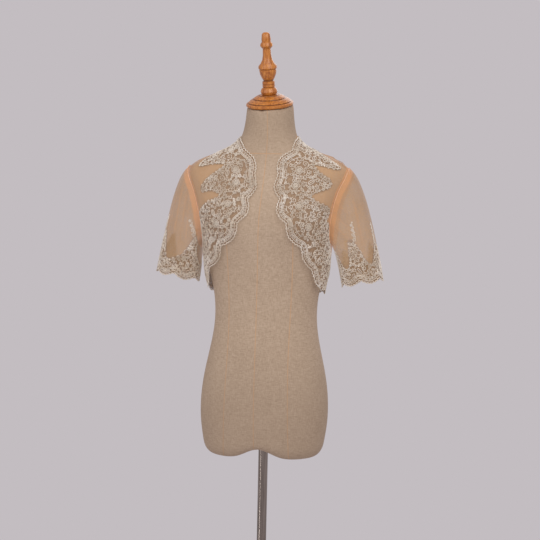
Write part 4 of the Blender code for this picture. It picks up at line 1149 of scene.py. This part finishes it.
# %% [markdown]
# The camera stands a little to the left of the form and level with the jacket, far enough away
# that the form hardly tapers. The room is plain and pale. A large soft key from the form's front left
# models the folds, a fill opens their shadows, and a third light serves the back. The narrow strip
# is seen only by gloss and gives the pole its bright line. The Standard view transform shows each
# swatch in the colour that was picked for it.

# %% Camera, floor and light
bpy.context.scene.view_settings.view_transform = "Standard"
AIM, DISTANCE, AZIMUTH, RISE, LEAN, LENS = Vector((0.007, 0.0, 1.130)), 3.2, 9.5, 3.0, 1.2, 92.8


def look_from(azimuth, rise):
    """The direction from the form to a viewer."""
    a, e = math.radians(azimuth), math.radians(rise)
    return Vector((math.sin(a) * math.cos(e), -math.cos(a) * math.cos(e), math.sin(e)))


back = look_from(AZIMUTH, RISE)
camera_data = bpy.data.cameras.new("camera")
camera_data.lens = LENS
camera = bpy.data.objects.new("camera", camera_data)
bpy.context.scene.collection.objects.link(camera)
turn = back.to_track_quat("Z", "Y").to_matrix().to_4x4() @ Matrix.Rotation(math.radians(LEAN), 4, "Z")
camera.matrix_world = Matrix.Translation(AIM + back * DISTANCE) @ turn
bpy.context.scene.camera = camera


def pixel(point):
    """Where a point falls in the 540 x 540 picture."""
    seen = camera.matrix_world.inverted() @ Vector(point)
    scale = LENS / 36 * 540 / -seen.z
    return round(270 + seen.x * scale, 1), round(270 - seen.y * scale, 1)


print("neck top", pixel((0, 0, 1.510)), "form bottom", pixel((0, 0, 0.700)))


def area_light(name, azimuth, rise, away, size, power):
    """A square soft light that faces the jacket: angles in degrees, metres and watts."""
    data = bpy.data.lights.new(name, "AREA")
    data.size = size
    data.energy = power
    lamp = bpy.data.objects.new(name, data)
    bpy.context.scene.collection.objects.link(lamp)
    toward = look_from(azimuth, rise)
    aimed = toward.to_track_quat("Z", "Y").to_matrix().to_4x4()
    lamp.matrix_world = Matrix.Translation(AIM + toward * away) @ aimed


area_light("soft_key", azimuth=30, rise=38, away=2.2, size=1.5, power=19)
area_light("soft_fill", azimuth=-36, rise=26, away=2.8, size=2.0, power=17)
area_light("soft_back", azimuth=168, rise=34, away=2.8, size=2.0, power=18)
area_light("soft_strip", azimuth=-50, rise=-26, away=1.7, size=0.08, power=1.1)
strip = bpy.data.objects["soft_strip"]
strip.data.shape = "RECTANGLE"
strip.data.size_y = 0.7
strip.visible_camera = False
strip.visible_diffuse = False

room = bpy.data.worlds.new("pale room")
room.use_nodes = True
shade = room.node_tree.nodes["Background"]
shade.inputs[0].default_value = colour("#C3BDC1")
shade.inputs[1].default_value = 1.0
bpy.context.scene.world = room

floor_paint, tree, shader, place = new_material("painted floor pale", 0.8)
speck = add_node(tree, "ShaderNodeTexNoise", {"Vector": place, "Scale": 5.0, "Detail": 3.0})
base = swatches(tree, speck.outputs[0], 0.3, 0.7, [(0.0, "#D8D3D6"), (1.0, "#E2DDE0")])
tree.links.new(base, shader.inputs["Base Color"])
bm = bmesh.new()
bmesh.ops.create_circle(bm, cap_ends=True, segments=96, radius=2.0)
mesh = bpy.data.meshes.new("floor")
bm.to_mesh(mesh)
bm.free()
floor = bpy.data.objects.new("floor", mesh)
bpy.context.scene.collection.objects.link(floor)
mesh.materials.append(floor_paint)
